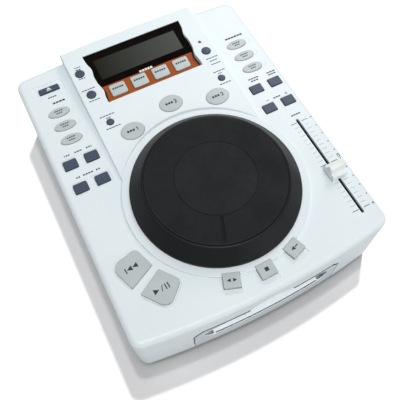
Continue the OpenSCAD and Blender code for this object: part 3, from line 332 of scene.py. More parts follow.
def arc(cx, cy, r, start, end, steps):
    """Points on an arc between two angles in degrees, both ends included."""
    return [Vector((cx + r * math.cos(math.radians(start + (end - start) * i / steps)),
                    cy + r * math.sin(math.radians(start + (end - start) * i / steps)))) for i in range(steps + 1)]


def ellipse(w, d, steps=64):
    """Ellipse or circle about the origin."""
    return [Vector((w / 2 * math.cos(2 * math.pi * i / steps), d / 2 * math.sin(2 * math.pi * i / steps)))
            for i in range(steps)]


def rounded_rect(w, d, r, steps=6):
    """Rectangle about the origin with round corners."""
    points = []
    for sx, sy, start in ((1, 1, 0), (-1, 1, 90), (-1, -1, 180), (1, -1, 270)):
        points += arc(sx * (w / 2 - r), sy * (d / 2 - r), r, start, start + 90, steps)
    return points


def box_outline(x0, x1, y0, y1):
    """Rectangle between two corners."""
    return [Vector((x0, y0)), Vector((x1, y0)), Vector((x1, y1)), Vector((x0, y1))]


def moved(points, x):
    """The outline shifted in X."""
    return [p + Vector((x, 0)) for p in points]


def inset_points(points, inset):
    """The outline moved inwards, corner by corner."""
    moved = []
    for i, p in enumerate(points):
        before = (p - points[i - 1]).normalized()
        after = (points[(i + 1) % len(points)] - p).normalized()
        inward = Vector((-before.y - after.y, before.x + after.x)).normalized()
        moved.append(p + inward * (inset / max(inward.dot(Vector((-before.y, before.x))), 0.35)))
    return moved


def bow_radius(bow):
    """Radius of an edge as wide as the casing that bows out so far in its middle."""
    return ((BODY_W / 2) ** 2 + bow ** 2) / (2 * bow)


def casing_outline(steps=40):
    """Plan of the casing: bowed front and back, joined to straight sides by round corners."""
    front_r, back_r = bow_radius(FRONT_BOW), bow_radius(BACK_BOW)
    front_cy, back_cy = -BODY_D / 2 + front_r, BODY_D / 2 - back_r
    corner_x = BODY_W / 2 - CORNER_R
    front_a = math.degrees(math.asin(corner_x / (front_r - CORNER_R)))
    back_a = math.degrees(math.asin(corner_x / (back_r - CORNER_R)))
    front_y = front_cy - (front_r - CORNER_R) * math.cos(math.radians(front_a))
    back_y = back_cy + (back_r - CORNER_R) * math.cos(math.radians(back_a))
    return (arc(0, front_cy, front_r, -90 - front_a, -90 + front_a, steps)[1:-1]
            + arc(corner_x, front_y, CORNER_R, -90 + front_a, 0, 12)
            + arc(corner_x, back_y, CORNER_R, 0, 90 - back_a, 12)
            + arc(0, back_cy, back_r, 90 - back_a, 90 + back_a, steps)[1:-1]
            + arc(-corner_x, back_y, CORNER_R, 90 + back_a, 180, 12)
            + arc(-corner_x, front_y, CORNER_R, 180, 270 - front_a, 12))


def clipped(points, axis, limit, keep):
    """The part of a convex outline on one side of a line; keep is 1 above the limit and -1 below it."""
    kept = []
    for i, p in enumerate(points):
        q = points[(i + 1) % len(points)]
        dp, dq = keep * (p[axis] - limit), keep * (q[axis] - limit)
        if dp >= 0:
            kept.append(p)
        if dp * dq < 0:
            kept.append(p + (q - p) * (dp / (dp - dq)))
    return kept


def deck_outline():
    """Plan of the raised deck: the casing's plan between the deck's front line and its two sides."""
    plan = clipped(casing_outline(), 1, DECK_FRONT_Y, 1)
    plan = clipped(plan, 0, DECK_X - DECK_W / 2, 1)
    return clipped(plan, 0, DECK_X + DECK_W / 2, -1)


def window_outline(y0=WINDOW_Y0, y1=WINDOW_Y1, steps=30):
    """The window's outline between two depths, narrower beside each round key."""
    def half(y):
        t = (y - WINDOW_Y0) / (WINDOW_Y1 - WINDOW_Y0)
        swell = math.exp(-((t - 0.7) / 0.1) ** 2) + math.exp(-((t - 0.25) / 0.1) ** 2)
        return (WINDOW_FRONT_W + (WINDOW_BACK_W - WINDOW_FRONT_W) * t) / 2 - 1.8 * swell
    rows = [y0 + (y1 - y0) * i / steps for i in range(steps + 1)]
    return ([Vector((WINDOW_X + half(y), y)) for y in rows]
            + [Vector((WINDOW_X - half(y), y)) for y in reversed(rows)])


def sector_outline(rounds, r0=88.0, r1=113.3, span=13.4):
    """Key cap that is part of a ring about the jog wheel's axis; rounds are its four corner radii, anticlockwise."""
    half = math.radians(span / 2)
    corners = [Vector((r * math.cos(a), r * math.sin(a)))
               for r, a in ((r0, -half), (r1, -half), (r1, half), (r0, half))]
    points = []
    for i, (p, r) in enumerate(zip(corners, rounds)):
        back = (corners[i - 1] - p).normalized()
        on = (corners[(i + 1) % 4] - p).normalized()
        opening = back.angle(on)
        middle = p + (back + on).normalized() * r / math.sin(opening / 2)
        reach = r / math.tan(opening / 2)
        start, end = (math.degrees(math.atan2(*(p + way * reach - middle).yx)) for way in (back, on))
        points += arc(middle.x, middle.y, r, start, end + (360 if end < start else 0), 8)
    return points


def tray_outline(inset=0.0):
    """Outline of the tray's front in X and Z, with an arch over the finger pocket."""
    arch_half, arch_h, steps = 26, 9.5, 24
    shares = [1 - 2 * i / steps for i in range(steps + 1)]
    arch = [(DECK_X + arch_half * t, TRAY_TOP + arch_h * math.cos(math.radians(90 * t)) ** 2) for t in shares]
    points = [(-TRAY_HALF, BASE_TOP + 0.7), (TRAY_HALF, BASE_TOP + 0.7), (TRAY_HALF, TRAY_TOP - TRAY_CORNER),
              (TRAY_HALF - TRAY_CORNER, TRAY_TOP), *arch, (-TRAY_HALF + TRAY_CORNER, TRAY_TOP),
              (-TRAY_HALF, TRAY_TOP - TRAY_CORNER)]
    return inset_points([Vector(p) for p in points], inset)


# ---------------------------------------------------------------- making meshes

def skin(bm, rings):
    """Faces between each ring of vertices and the next."""
    for low, high in zip(rings, rings[1:]):
        for i in range(len(low)):
            j = (i + 1) % len(low)
            bm.faces.new((low[i], low[j], high[j], high[i]))


def loft(bm, points, profile, place=None):
    """Copies of an outline, each inset and at its own height, joined into a closed solid; gives its two ends."""
    place = place or Matrix.Identity(4)
    rings = [[bm.verts.new((place @ Vector((*p, height(p) if callable(height) else height))) * MM)
              for p in inset_points(points, inset)] for inset, height in profile]
    ends = bm.faces.new(rings[0][::-1]), bm.faces.new(rings[-1])
    skin(bm, rings)
    return ends


def dome(bm, points, levels, place):
    """Closes a cap's top with the outline shrunk about its middle, one ring for each (share, height)."""
    middle = sum(points, Vector((0, 0))) / len(points)
    rings = [[bm.verts.new((place @ Vector((*(middle + (p - middle) * share), z))) * MM) for p in points]
             for share, z in levels]
    skin(bm, rings)
    bm.faces.new(rings[-1])


def revolve(bm, profile, centre, steps=192):
    """A closed profile of (radius, height) points turned about a vertical axis."""
    poles = [bm.verts.new(Vector((centre.x, centre.y, z)) * MM) if r == 0 else None for r, z in profile]
    columns = []
    for s in range(steps):
        a = 2 * math.pi * s / steps
        columns.append([pole or bm.verts.new(Vector((centre.x + r * math.cos(a), centre.y + r * math.sin(a), z)) * MM)
                        for pole, (r, z) in zip(poles, profile)])
    for here, there in zip(columns, columns[1:] + columns[:1]):
        for i in range(len(profile)):
            j = (i + 1) % len(profile)
            corners = list(dict.fromkeys((here[i], there[i], there[j], here[j])))
            if len(corners) > 2:
                bm.faces.new(corners)


def rounded_end(z, r, steps=4):
    """Profile points that round an edge over to the height z, from the outline inwards."""
    turn = [math.radians(90 * i / steps) for i in range(steps + 1)]
    return [(r * (1 - math.cos(a)), z - r * (1 - math.sin(a))) for a in turn]


def flared(low, z, high, r, steps=4):
    """Profile of a cutter whose hole is rounded over where it meets the surface at height z."""
    lift = 0.01
    return [(0, low)] + [(-inset, height) for inset, height in rounded_end(z + lift, r, steps)] + [(-r, high)]


def to_object(bm, name, *finishes):
    """Turns the bmesh into an object at the origin, its faces outwards."""
    bmesh.ops.recalc_face_normals(bm, faces=bm.faces)
    mesh = bpy.data.meshes.new(name)
    bm.to_mesh(mesh)
    bm.free()
    for finish in finishes:
        mesh.materials.append(FINISH[finish])
    made = bpy.data.objects.new(name, mesh)
    bpy.context.scene.collection.objects.link(made)
    return made


def solid(name, points, profile, place=None, *finishes):
    """An object that is one loft."""
    bm = bmesh.new()
    loft(bm, points, profile, place)
    return to_object(bm, name, *finishes)


def baked(obj):
    """Applies the object's modifiers to its mesh."""
    mesh = bpy.data.meshes.new_from_object(obj.evaluated_get(bpy.context.evaluated_depsgraph_get()))
    obj.modifiers.clear()
    obj.data = mesh
    return obj


def cut(obj, tool, operation="DIFFERENCE"):
    """Takes the tool's solid from the object, or adds it, and removes the tool."""
    boolean = obj.modifiers.new("cut", "BOOLEAN")
    boolean.operation = operation
    boolean.solver = "EXACT"
    boolean.object = tool
    baked(obj)
    bpy.data.objects.remove(tool)
    return obj


def cut_all(obj, name, shapes, operation="DIFFERENCE"):
    """One cut with lofted shapes that don't overlap: (outline, profile) or (outline, profile, place) each."""
    bm = bmesh.new()
    for shape in shapes:
        loft(bm, *shape)
    return cut(obj, to_object(bm, name), operation)


def soften(obj, width_mm, segments=2, angle=35):
    """Rounds the edges that are sharper than the angle."""
    bevel = obj.modifiers.new("edges", "BEVEL")
    bevel.width = width_mm * MM
    bevel.segments = segments
    bevel.limit_method = "ANGLE"
    bevel.angle_limit = math.radians(angle)
    return baked(obj)


def finished(obj, body, slot, *nodes, sharp=38):
    mesh = obj.data
    mesh.shade_smooth()
    mesh.set_sharp_from_angle(angle=math.radians(sharp))
    weighted = obj.modifiers.new("even shading", "WEIGHTED_NORMAL")
    weighted.keep_sharp = True
    weighted.weight = 100
    baked(obj)
    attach(obj, body)
    if nodes:
        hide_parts(*nodes)
    return obj

# ---------------------------------------------------------------- keys

SHAPES = {
    "oval": ellipse(21.0, 10.5), "cue_oval": ellipse(23.0, 18.2, 80), "square": rounded_rect(13.0, 10.2, 1.2),
    "eject": rounded_rect(20.5, 6.5, 1.0), "effect": rounded_rect(16.4, 13.3, 2.0),
    "round": ellipse(9.4, 9.4, 48), "dot": ellipse(7.4, 7.4, 40),
    "cue": sector_outline((4.5, 8.0, 0.6, 0.6)), "play": sector_outline((0.6, 0.6, 8.0, 4.5)),
    "ring_key": moved(rounded_rect(12.8, 14.7, 0.6), RING_KEY_R),
}
# height above its surface, rounding of the top edge, how far the middle is domed
FORMS = {"oval": (1.2, 0.6, 0.25), "cue_oval": (1.2, 0.8, 0.3), "square": (1.2, 0.5, 0.0),
         "eject": (1.2, 0.5, 0.0), "effect": (1.8, 1.0, 0.3), "round": (1.2, 0.7, 0.3), "dot": (1.2, 0.6, 0.25),
         "cue": (1.6, 0.5, 0.0), "play": (1.6, 0.5, 0.0), "ring_key": (3.2, 0.35, 0.0)}


def key_rows():
    """Every key: node, surface, x, y, turn, shape, finish."""
    rows = [("eject_key", "panel", EJECT_X, 122.2, 0, "eject", "slate")]
    cue_points = (-39.4, 38.4), (4.6, 49.9), (47.4, 37.5)
    for i, ring_key in enumerate(("scratch_key", "brake_key", "reverse_key")):
        rows += [(f"loop_key_{i + 1}", "panel", LEFT_X, 92.3 - OVAL_PITCH * i, 0, "oval", "grey"),
                 (f"sample_key_{i + 1}", "panel", RIGHT_X - 0.4, 88.8 - OVAL_PITCH * i, 0, "oval", "grey"),
                 (f"cue_point_key_{i + 1}", "deck", *cue_points[i], 0, "cue_oval", "grey"),
                 (ring_key, "jog", 0, 0, -89 + 20 * (i - 1), "ring_key", "grey")]
    for side, names in ((-PAIR / 2, ("skip_back_key", "search_back_key", "range_key", "bend_down_key")),
                        (PAIR / 2, ("skip_forward_key", "search_forward_key", "master_key", "bend_up_key"))):
        for name, x, y in zip(names, (SKIP_X, SKIP_X, RIGHT_X, RIGHT_X), (SKIP_Y, SEARCH_Y, 30.7, 5.6)):
            rows.append((name, "panel", x + side, y, 0, "square", "slate"))
    for name, x, y, shape in (("time_key", -59.2, 119.0, "round"), ("mode_key", -58.2, 92.0, "round"),
                              ("relay_key", -54.1, 56.4, "dot"), ("record_key", 62.3, 90.0, "round"),
                              ("tap_key", 60.8, 54.6, "dot")):
        rows.append((name, "deck", x, y, 0, shape, "slate"))
    for i in range(4):
        rows.append((f"effect_key_{i + 1}", "window", WINDOW_X - 1 + (i - 1.5) * EFFECT_PITCH, 89.95, 0, "effect",
                     "grey"))
    return rows + [("cue_key", "jog", 0, 0, 200.0, "cue", "grey"), ("play_key", "jog", 0, 0, 217.4, "play", "grey")]


KEYS = key_rows()


def key_cap(name, surface, x, y, turn, shape, finish):
    """One key cap with its retaining flange, its top edge rounded and its middle gently domed."""
    proud, edge, rise = FORMS[shape]
    thick = WINDOW_T + WINDOW_WALL if surface == "window" else WALL
    flange_t, flange_w, free = 1.2, 0.9, 0.3
    flange = -(thick + free + flange_t)
    outline, place = SHAPES[shape], placed(surface, x, y, turn)
    gap = KEY_GAP if finish == "slate" else FINE_GAP
    bm = bmesh.new()
    rim = [(gap + inset, height) for inset, height in rounded_end(proud - rise, edge)]
    top = loft(bm, outline, [(-flange_w, flange), (-flange_w, flange + flange_t), (gap, flange + flange_t)] + rim,
               place)[1]
    if rise:
        bmesh.ops.delete(bm, geom=[top], context="FACES_ONLY")
        dome(bm, inset_points(outline, gap + edge), [(k, proud - rise * k * k) for k in (1.0, 0.8, 0.6, 0.4, 0.2)],
             place)
        bmesh.ops.remove_doubles(bm, verts=bm.verts, dist=0.005 * MM)
    return finished(to_object(bm, name.replace("_key", "_cap"), finish), name,
                    "key_slate" if finish == "slate" else "key_grey", name)


# ---------------------------------------------------------------- casing

def casing_dishes():
    """Shallow dishes round the keys, each with a softened edge, for one cut."""
    dishes = [(rounded_rect(30, 14, 0.9), flared(-0.6, -0.05, 4, 0.25), placed("panel", EJECT_X, 123.2))]
    for y in (SKIP_Y, SEARCH_Y):
        dishes.append((rounded_rect(37, 12.6, 2.4), flared(-0.5, -0.05, 4, 0.3), placed("panel", SKIP_X, y)))
    ledge = moved(rounded_rect(4.6, 14.3, 0.7), RING_KEY_R + 8.4)
    soft = [(0.2, -0.1), (0, 0.02), (-0.1, 4)]
    for _, surface, x, y, turn, shape, _ in KEYS:
        if shape == "oval":
            dishes.append((ellipse(26.5, 11.8), [(1.6, -0.6), (0.3, -0.12)] + soft[1:], placed(surface, x + 2.2, y)))
        if shape == "ring_key":
            dishes.append((ledge, flared(-0.7, 0, 4, 0.2), placed(surface, x, y, turn)))
        if shape in ("cue", "play"):
            rounds, lean = ((6.0, 9.5, 2.5, 2.5), -0.9) if shape == "cue" else ((2.5, 2.5, 9.5, 6.0), 0.9)
            dishes.append((sector_outline(rounds, 87.6, 115.2, 14.0), [(1.0, -0.7)] + soft,
                           placed(surface, x, y, turn + lean)))
    return dishes


def key_holes():
    """The casing's key holes, each rounded over at its surface or at its dish's floor, for one cut."""
    holes = []
    for name, surface, x, y, turn, shape, finish in KEYS:
        if surface != "window":
            sunk = 0.5 if name.startswith(("skip", "search")) else {"oval": 0.6, "eject": 0.6}.get(shape, 0.0)
            lip = 0.3 if finish == "slate" else 0.12
            holes.append((SHAPES[shape], flared(-THROUGH, -sunk, ABOVE, lip, 3), placed(surface, x, y, turn)))
    return holes


def casing_top():
    """Upper casing: rounded shell, sloping deck, jog ring and well, with every hole and dish."""
    plan, ring = casing_outline(), ellipse(2 * RING_R, 2 * RING_R, 192)
    obj = solid("casing_top", plan, [(0.25, SHELL_Z), (0, SHELL_Z + 0.25)] + rounded_end(PANEL_Z, EDGE_R, 8), None,
                "white")
    edge = [(inset, (lambda p, h=height: deck_z(p.y) + h)) for inset, height in rounded_end(0, 1.3)]
    deck = solid("deck", deck_outline(), [(0, PANEL_Z - 4)] + edge)
    cut_all(deck, "ring clearance", [(ring, [(0, RING_Z - 0.05), (-1.5, RING_Z + 2.6), (-1.5, RING_Z + 30)], AT_JOG)])
    cut(obj, deck, "UNION")
    well_wall = ellipse(2 * WELL_R + 3.2, 2 * WELL_R + 3.2, 192)
    for name, operation, *shape in (
            ("ring", "UNION", ring, [(0, PANEL_Z - 3)] + rounded_end(RING_Z, 0.9, 5), AT_JOG),
            ("hollow", "DIFFERENCE", inset_points(plan, WALL), [(0, SHELL_Z - 2), (0, PANEL_Z - WALL)]),
            ("window surround", "UNION", inset_points(window_outline(), -WINDOW_WALL), [(0, -12), (0, -0.5)],
             SURFACES["deck"]),
            ("well", "UNION", well_wall, [(0, WELL_Z - 2), (0, RING_Z - 0.5)], AT_JOG)):
        cut_all(obj, name, [shape], operation)
    cut_all(obj, "main openings", [
        (ellipse(2 * WELL_R, 2 * WELL_R, 192), flared(WELL_Z, RING_Z, RING_Z + 20, 0.7), AT_JOG),
        (window_outline(), flared(-20, 0, ABOVE, 0.5), SURFACES["deck"]),
        (rounded_rect(SLOT_W, FADER_TRAVEL + 8, SLOT_W / 2 - 0.05, 8), flared(-THROUGH, 0, ABOVE, 0.35),
         placed("panel", FADER_X, FADER_Y)),
        (ellipse(LED_D + 0.2, LED_D + 0.2, 32), flared(-THROUGH, 0, ABOVE, 0.2), placed("deck", *LED)),
        (ellipse(JOG_HOLE_D, JOG_HOLE_D, 48), [(0, -ABOVE), (0, ABOVE)], at(JOG.x, JOG.y, WELL_Z))])
    cut_all(obj, "dishes", casing_dishes())
    cut_all(obj, "key holes", key_holes())
    cut_all(obj, "tray opening", [(tray_outline(-TRAY_CLEAR), [(0, 132.0), (0, OUTSIDE)], STOOD_UP)])
    cut_all(obj, "rear opening", [(rounded_rect(REAR_W, REAR_H, 1.0), [(0, -OUTSIDE), (0, -136.0)],
                                   at(z=REAR_Z) @ STOOD_UP)])
    return finished(obj, "casing", "shell_white", "top_case")


def casing_base():
    """Base plate with its screw counterbores."""
    obj = solid("casing_base", casing_outline(), [(1.2, FOOT_H), (0.7, FOOT_H + 0.2), (0.5, FOOT_H + 0.7),
                                                  (0.5, BASE_TOP)], None, "white")
    cut_all(obj, "counterbores", [(ellipse(6.4, 6.4, 32), [(0, FOOT_H - 1), (0, FOOT_H + 1.5)], at(x, y))
                                  for x in (-SCREW_X, SCREW_X) for y in SCREW_YS])
    return finished(obj, "casing", "shell_white", "bottom_case")


def rubber_feet():
    """Four feet with a rounded lower edge and a shallow hollow for their screw."""
    bm = bmesh.new()
    profile = [(0, 1.0), (3.0, 1.0), (3.4, 0.0), (7.2, 0.0), (8.0, 0.3), (8.5, 1.0), (9.0, FOOT_H), (0, FOOT_H)]
    for x in (-FOOT_X, FOOT_X):
        for y in (-FOOT_Y, FOOT_Y):
            revolve(bm, profile, Vector((x, y, 0)), 40)
    return finished(to_object(bm, "feet", "rubber"), "casing", "rubber_black", "rubber_feet")


def tray_fascia():
    """The tray's front, bowed with the casing: its finger pocket, a groove along the lip, black painted shade on top.
    """
    top_gap, floor_t, pit_floor_t = 1.6, 0.9, 0.6
    front = [Vector((p.x, p.y - (top_gap if p.y > TRAY_TOP / 2 else 0.0))) for p in tray_outline(0.5)]
    obj = solid("tray_fascia", front, [(0, -TRAY_BACK_Y), (0, OUTSIDE)], STOOD_UP, "fascia", "lip", "rubber")
    cut(obj, solid("bow", casing_outline(160), [(0, 0), (0, 90)]), "INTERSECT")
    half, low, high = 62.0, FOOT_H + 21.5, TRAY_TOP - 3
    pocket = [(-half, low + 10), (-half + 8, low), (half - 8, low), (half, low + 10), (half - 6, low + 19),
              (half - 20, high), (DECK_X + 22, high), (DECK_X + 14, high + 14), (DECK_X - 14, high + 14),
              (DECK_X - 22, high), (-half + 20, high), (-half + 6, low + 19)]
    cut_all(obj, "pocket", [([Vector(p) for p in pocket], [(0, -TRAY_BACK_Y + floor_t), (0, OUTSIDE)], STOOD_UP)])
    bow_r, groove_front, groove_back = bow_radius(FRONT_BOW), 0.45, 1.4
    bow_y, spread = -BODY_D / 2 + bow_r, math.degrees((half - 11) / bow_r)
    groove = (arc(0, bow_y, bow_r - groove_front, 270 - spread, 270 + spread, 60)
              + arc(0, bow_y, bow_r - groove_back, 270 + spread, 270 - spread, 60))
    ends = [(box_outline(x, x + 9.0, -147.2, TRAY_BACK_Y - pit_floor_t), [(0, low - 8), (0, low + 14)])
            for x in (-half + 1.0, half - 10)]
    cut_all(obj, "groove and ends", [(groove, [(0, low - 6), (0, low + 3)])] + ends)
    soften(obj, 0.3)
    # Painted light and shade chosen by face direction: upward faces in the top gap black as shade, the upward pocket
    # floor whiter as light, every other face the greyer front as shade.
    for face in obj.data.polygons:
        height, up = face.center.z / MM, face.normal.z > 0.4
        is_painted_gap_shade, is_painted_light_ledge = height > TRAY_TOP - 12, low - 7 < height < low + 9
        face.material_index = (2 if is_painted_gap_shade else int(is_painted_light_ledge)) if up else 0
    return finished(obj, "tray", "shell_white", "tray_front")


# ---------------------------------------------------------------- display

def window_pieces():
    """Smoked window behind and orange strip in front, sunk in the deck, the strip clear of the dark border of painted
    shade.
    """
    for name, y0, y1, side, finish, slot, cad in (
            ("window_glass", WINDOW_SPLIT, WINDOW_Y1 - 0.1, 0.1, "window", "window_black", "display_window"),
            ("effect_strip", WINDOW_Y0 + 0.8, WINDOW_SPLIT, 1.9, "orange", "bezel_orange", "effect_bezel")):
        share = 1 - 2 * side / WINDOW_FRONT_W
        outline = [Vector((WINDOW_X + (p.x - WINDOW_X) * share, p.y)) for p in window_outline(y0, y1)]
        obj = solid(name, outline, [(0, -WINDOW_T - WINDOW_WALL)] + rounded_end(0, 0.3, 3), SURFACES["window"], finish)
        if finish == "orange":
            cut_all(obj, "effect holes", [(SHAPES["effect"], flared(-8, 0, 8, 0.4), placed("window", key[2], key[3]))
                                          for key in KEYS if key[1] == "window"])
        finished(obj, "casing", slot, cad)


def window_shade_strip():
    """Black rubber strip of painted shade round the window: it darkens the gap to the casing and lines the low step at
    the back, where there is only shade.
    """
    outer, edge, inner = (inset_points(window_outline(), inset) for inset in (0.02, 0.25, 3.0))

    def rise(p):
        """Height of the strip's top: above the window at the back, just below it in front."""
        return -0.6 + 1.7 * max(0.0, (p.y - WINDOW_SPLIT) / (WINDOW_Y1 - WINDOW_SPLIT))

    bm = bmesh.new()
    rings = [[bm.verts.new((SURFACES["window"] @ Vector((*p, level if level else rise(p)))) * MM) for p in points]
             for points, level in ((outer, None), (edge, None), (edge, -0.7), (inner, -0.7), (inner, -1.9),
                                   (outer, -1.9))]
    skin(bm, rings + rings[:1])
    return finished(to_object(bm, "window_shade_strip", "rubber"), "casing", None)


def status_lamp():
    """Domed lens of the status lamp."""
    under = -WALL - 0.1
    lens = [(-0.8, under - 2.5), (-0.8, under), (0, under), (0, 0.0), (0.1, 0.2), (0.4, 0.33), (0.9, 0.39)]
    obj = solid("lamp_lens", ellipse(LED_D, LED_D, 32), lens, placed("deck", *LED), "lamp")
    return finished(obj, "casing", "lamp_red", "status_led")


# ---------------------------------------------------------------- jog wheel

def jog_rim():
    """Rim of the jog wheel: upright skirt, rounded shoulder, sloping flank and the lip round the pad."""
    top, round_r, bore_r, hub_z = JOG_TOP_Z - 2.5, 1.6, 4.1, 80.0
    shoulder = [(JOG_R - round_r * (1 - math.cos(a)), SHOULDER_Z - round_r + round_r * math.sin(a))
                for a in (math.radians(13 * i) for i in range(5))]
    profile = ([(bore_r, hub_z), (10, hub_z), (11, top - 3), (PAD_R - 2, top - 3), (JOG_R - 3, SHOULDER_Z - 1),
                (JOG_R - 3, WELL_Z + 2), (JOG_R - 0.3, WELL_Z + 2), (JOG_R, WELL_Z + 2.3)] + shoulder
               + [(PAD_R + 2.4, JOG_TOP_Z - 1.25), (PAD_R + 1.6, JOG_TOP_Z - 0.72), (PAD_R + 0.9, JOG_TOP_Z - 0.62),
                  (PAD_R + 0.4, JOG_TOP_Z - 0.9), (PAD_R + 0.4, top), (bore_r, top)])
    bm = bmesh.new()
    revolve(bm, profile, JOG, 256)
    return finished(to_object(bm, "jog_rim", "rim"), "jog", "jog_anthracite", "jog_wheel")


def jog_top():
    """Pad of the jog wheel: a smooth middle, a groove, a ribbed field and one radial mark."""
    z, sunk, groove, low = JOG_TOP_Z, 0.14, 0.55, JOG_TOP_Z - 2.5
    bm = bmesh.new()
    revolve(bm, [(0, low + 0.02), (PAD_R, low + 0.02), (PAD_R, z - 0.6), (PAD_R - 0.15, z - 0.2), (PAD_R - 0.6, z),
                 (RIB_END + 0.3, z), (RIB_END, z - sunk), (RIB_START - 0.6, z - sunk), (RIB_START - 0.9, z - groove),
                 (RIB_START - 1.5, z - groove), (RIB_START - 1.8, z), (0, z)], JOG, 256)
    obj = to_object(bm, "jog_top", "pad")
    cut_all(obj, "mark", [(rounded_rect(23.6, 2.0, 0.6, 4), [(0, -1.3), (-0.25, 0.02), (-0.3, 2)],
                           AT_JOG @ about("Z", -110.6) @ at(47.6, 0, z))])
    return finished(obj, "jog", "jog_anthracite", "jog_pad", sharp=30)


def group_with(name, inputs):
    """An empty geometry node group with named inputs, each of its kind, and a geometry output."""
    tree = bpy.data.node_groups.new(name, "GeometryNodeTree")
    for label, kind in inputs.items():
        tree.interface.new_socket(label, in_out="INPUT", socket_type="NodeSocket" + kind)
    tree.interface.new_socket("Geometry", in_out="OUTPUT", socket_type="NodeSocketGeometry")
    return tree, node(tree, "NodeGroupInput").outputs


def made_real(tree, geometry, material):
    """Ends a group: its instances made real and given their material."""
    real = node(tree, "GeometryNodeRealizeInstances", {"Geometry": geometry})
    dressed = node(tree, "GeometryNodeSetMaterial", {"Geometry": real.outputs["Geometry"], "Material": material})
    node(tree, "NodeGroupOutput", {"Geometry": dressed.outputs["Geometry"]})
    return tree


def grown(name, tree, values):
    """Runs a geometry node group with these values and returns its result as a plain mesh object."""
    obj = bpy.data.objects.new(name, bpy.data.meshes.new(name))
    bpy.context.scene.collection.objects.link(obj)
    modifier = obj.modifiers.new("grow", "NODES")
    modifier.node_group = tree
    for item in tree.interface.items_tree:
        if item.in_out == "INPUT":
            modifier[item.identifier] = values[item.name]
    return baked(obj)


def tick_row():
    """Group that repeats a flat bar along Y: ticks of a scale."""
    tree, inputs = group_with("tick row", {"Count": "Int", "Pitch": "Float", "Length": "Float", "Width": "Float",
                                           "Height": "Float", "Start": "Vector", "Ink": "Material"})
    step = node(tree, "ShaderNodeCombineXYZ", {"Y": inputs["Pitch"]})
    line = node(tree, "GeometryNodeMeshLine", {"Count": inputs["Count"], "Start Location": inputs["Start"],
                                               "Offset": step.outputs[0]})
    size = node(tree, "ShaderNodeCombineXYZ", {"X": inputs["Length"], "Y": inputs["Width"], "Z": inputs["Height"]})
    bar = node(tree, "GeometryNodeMeshCube", {"Size": size.outputs[0]})
    bars = node(tree, "GeometryNodeInstanceOnPoints", {"Points": line.outputs["Mesh"], "Instance": bar.outputs["Mesh"]})
    return made_real(tree, bars.outputs["Instances"], inputs["Ink"])


def concentric_ribs():
    """Group that lays concentric ribs round an axis: fine grooves of a pad."""
    tree, inputs = group_with("concentric ribs", {"Count": "Int", "Start Radius": "Float", "Pitch": "Float",
                                                  "Rib": "Float", "Centre": "Vector", "Rubber": "Material"})
    points = node(tree, "GeometryNodeMeshLine", {"Count": inputs["Count"], "Start Location": inputs["Centre"],
                                                 "Offset": (0.0, 0.0, 0.0)})
    circle = node(tree, "GeometryNodeCurvePrimitiveCircle", {"Resolution": 180, "Radius": 1.0})
    index = node(tree, "GeometryNodeInputIndex")
    radius = node(tree, "ShaderNodeMath", {0: index.outputs[0], 1: inputs["Pitch"], 2: inputs["Start Radius"]},
                  operation="MULTIPLY_ADD")
    size = node(tree, "ShaderNodeCombineXYZ", {axis: radius.outputs[0] for axis in "XYZ"})
    rings = node(tree, "GeometryNodeInstanceOnPoints", {"Points": points.outputs["Mesh"],
                                                        "Instance": circle.outputs["Curve"], "Scale": size.outputs[0]})
    real = node(tree, "GeometryNodeRealizeInstances", {"Geometry": rings.outputs["Instances"]})
    rib = node(tree, "GeometryNodeCurvePrimitiveCircle", {"Resolution": 6, "Radius": inputs["Rib"]})
    swept = node(tree, "GeometryNodeCurveToMesh", {"Curve": real.outputs["Geometry"],
                                                   "Profile Curve": rib.outputs["Curve"]})
    return made_real(tree, swept.outputs["Mesh"], inputs["Rubber"])


def screw_rows():
    """Group that sets a pan-head screw with its shank at each point of two rows."""
    tree, inputs = group_with("screws", {"Columns": "Float", "Head Radius": "Float", "Head Height": "Float",
                                         "Shank Radius": "Float", "Shank Length": "Float", "Base": "Float",
                                         "Steel": "Material"})
    head = node(tree, "GeometryNodeMeshCylinder", {"Vertices": 28, "Radius": inputs["Head Radius"],
                                                   "Depth": inputs["Head Height"]})
    shank = node(tree, "GeometryNodeMeshCylinder", {"Vertices": 20, "Radius": inputs["Shank Radius"],
                                                    "Depth": inputs["Shank Length"]})
    half = node(tree, "ShaderNodeMath", {0: inputs["Shank Length"], 1: 0.5}, operation="MULTIPLY")
    up = node(tree, "ShaderNodeCombineXYZ", {"Z": half.outputs[0]})
    raised = node(tree, "GeometryNodeTransform", {"Geometry": shank.outputs["Mesh"], "Translation": up.outputs[0]})
    both = node(tree, "GeometryNodeJoinGeometry", {0: head.outputs["Mesh"]})
    tree.links.new(raised.outputs["Geometry"], both.inputs[0])
    spots = node(tree, "GeometryNodeJoinGeometry")
    for side in (-1.0, 1.0):
        for y in SCREW_YS:
            x = node(tree, "ShaderNodeMath", {0: inputs["Columns"], 1: side}, operation="MULTIPLY")
            spot = node(tree, "ShaderNodeCombineXYZ", {"X": x.outputs[0], "Y": y * MM, "Z": inputs["Base"]})
            point = node(tree, "GeometryNodePoints", {"Count": 1, "Position": spot.outputs[0]})
            tree.links.new(point.outputs[0], spots.inputs[0])
    screws = node(tree, "GeometryNodeInstanceOnPoints", {"Points": spots.outputs[0], "Instance": both.outputs[0]})
    return made_real(tree, screws.outputs["Instances"], inputs["Steel"])


def jog_ribs():
    """Fine concentric ribs in the pad's outer field."""
    obj = grown("jog_ribs", concentric_ribs(), {
        "Count": int((RIB_END - RIB_START) / RIB_PITCH), "Start Radius": RIB_START * MM, "Pitch": RIB_PITCH * MM,
        "Rib": 0.13 * MM, "Centre": (JOG.x * MM, JOG.y * MM, (JOG_TOP_Z - 0.15) * MM), "Rubber": FINISH["pad"]})
    return finished(obj, "jog", "jog_anthracite")


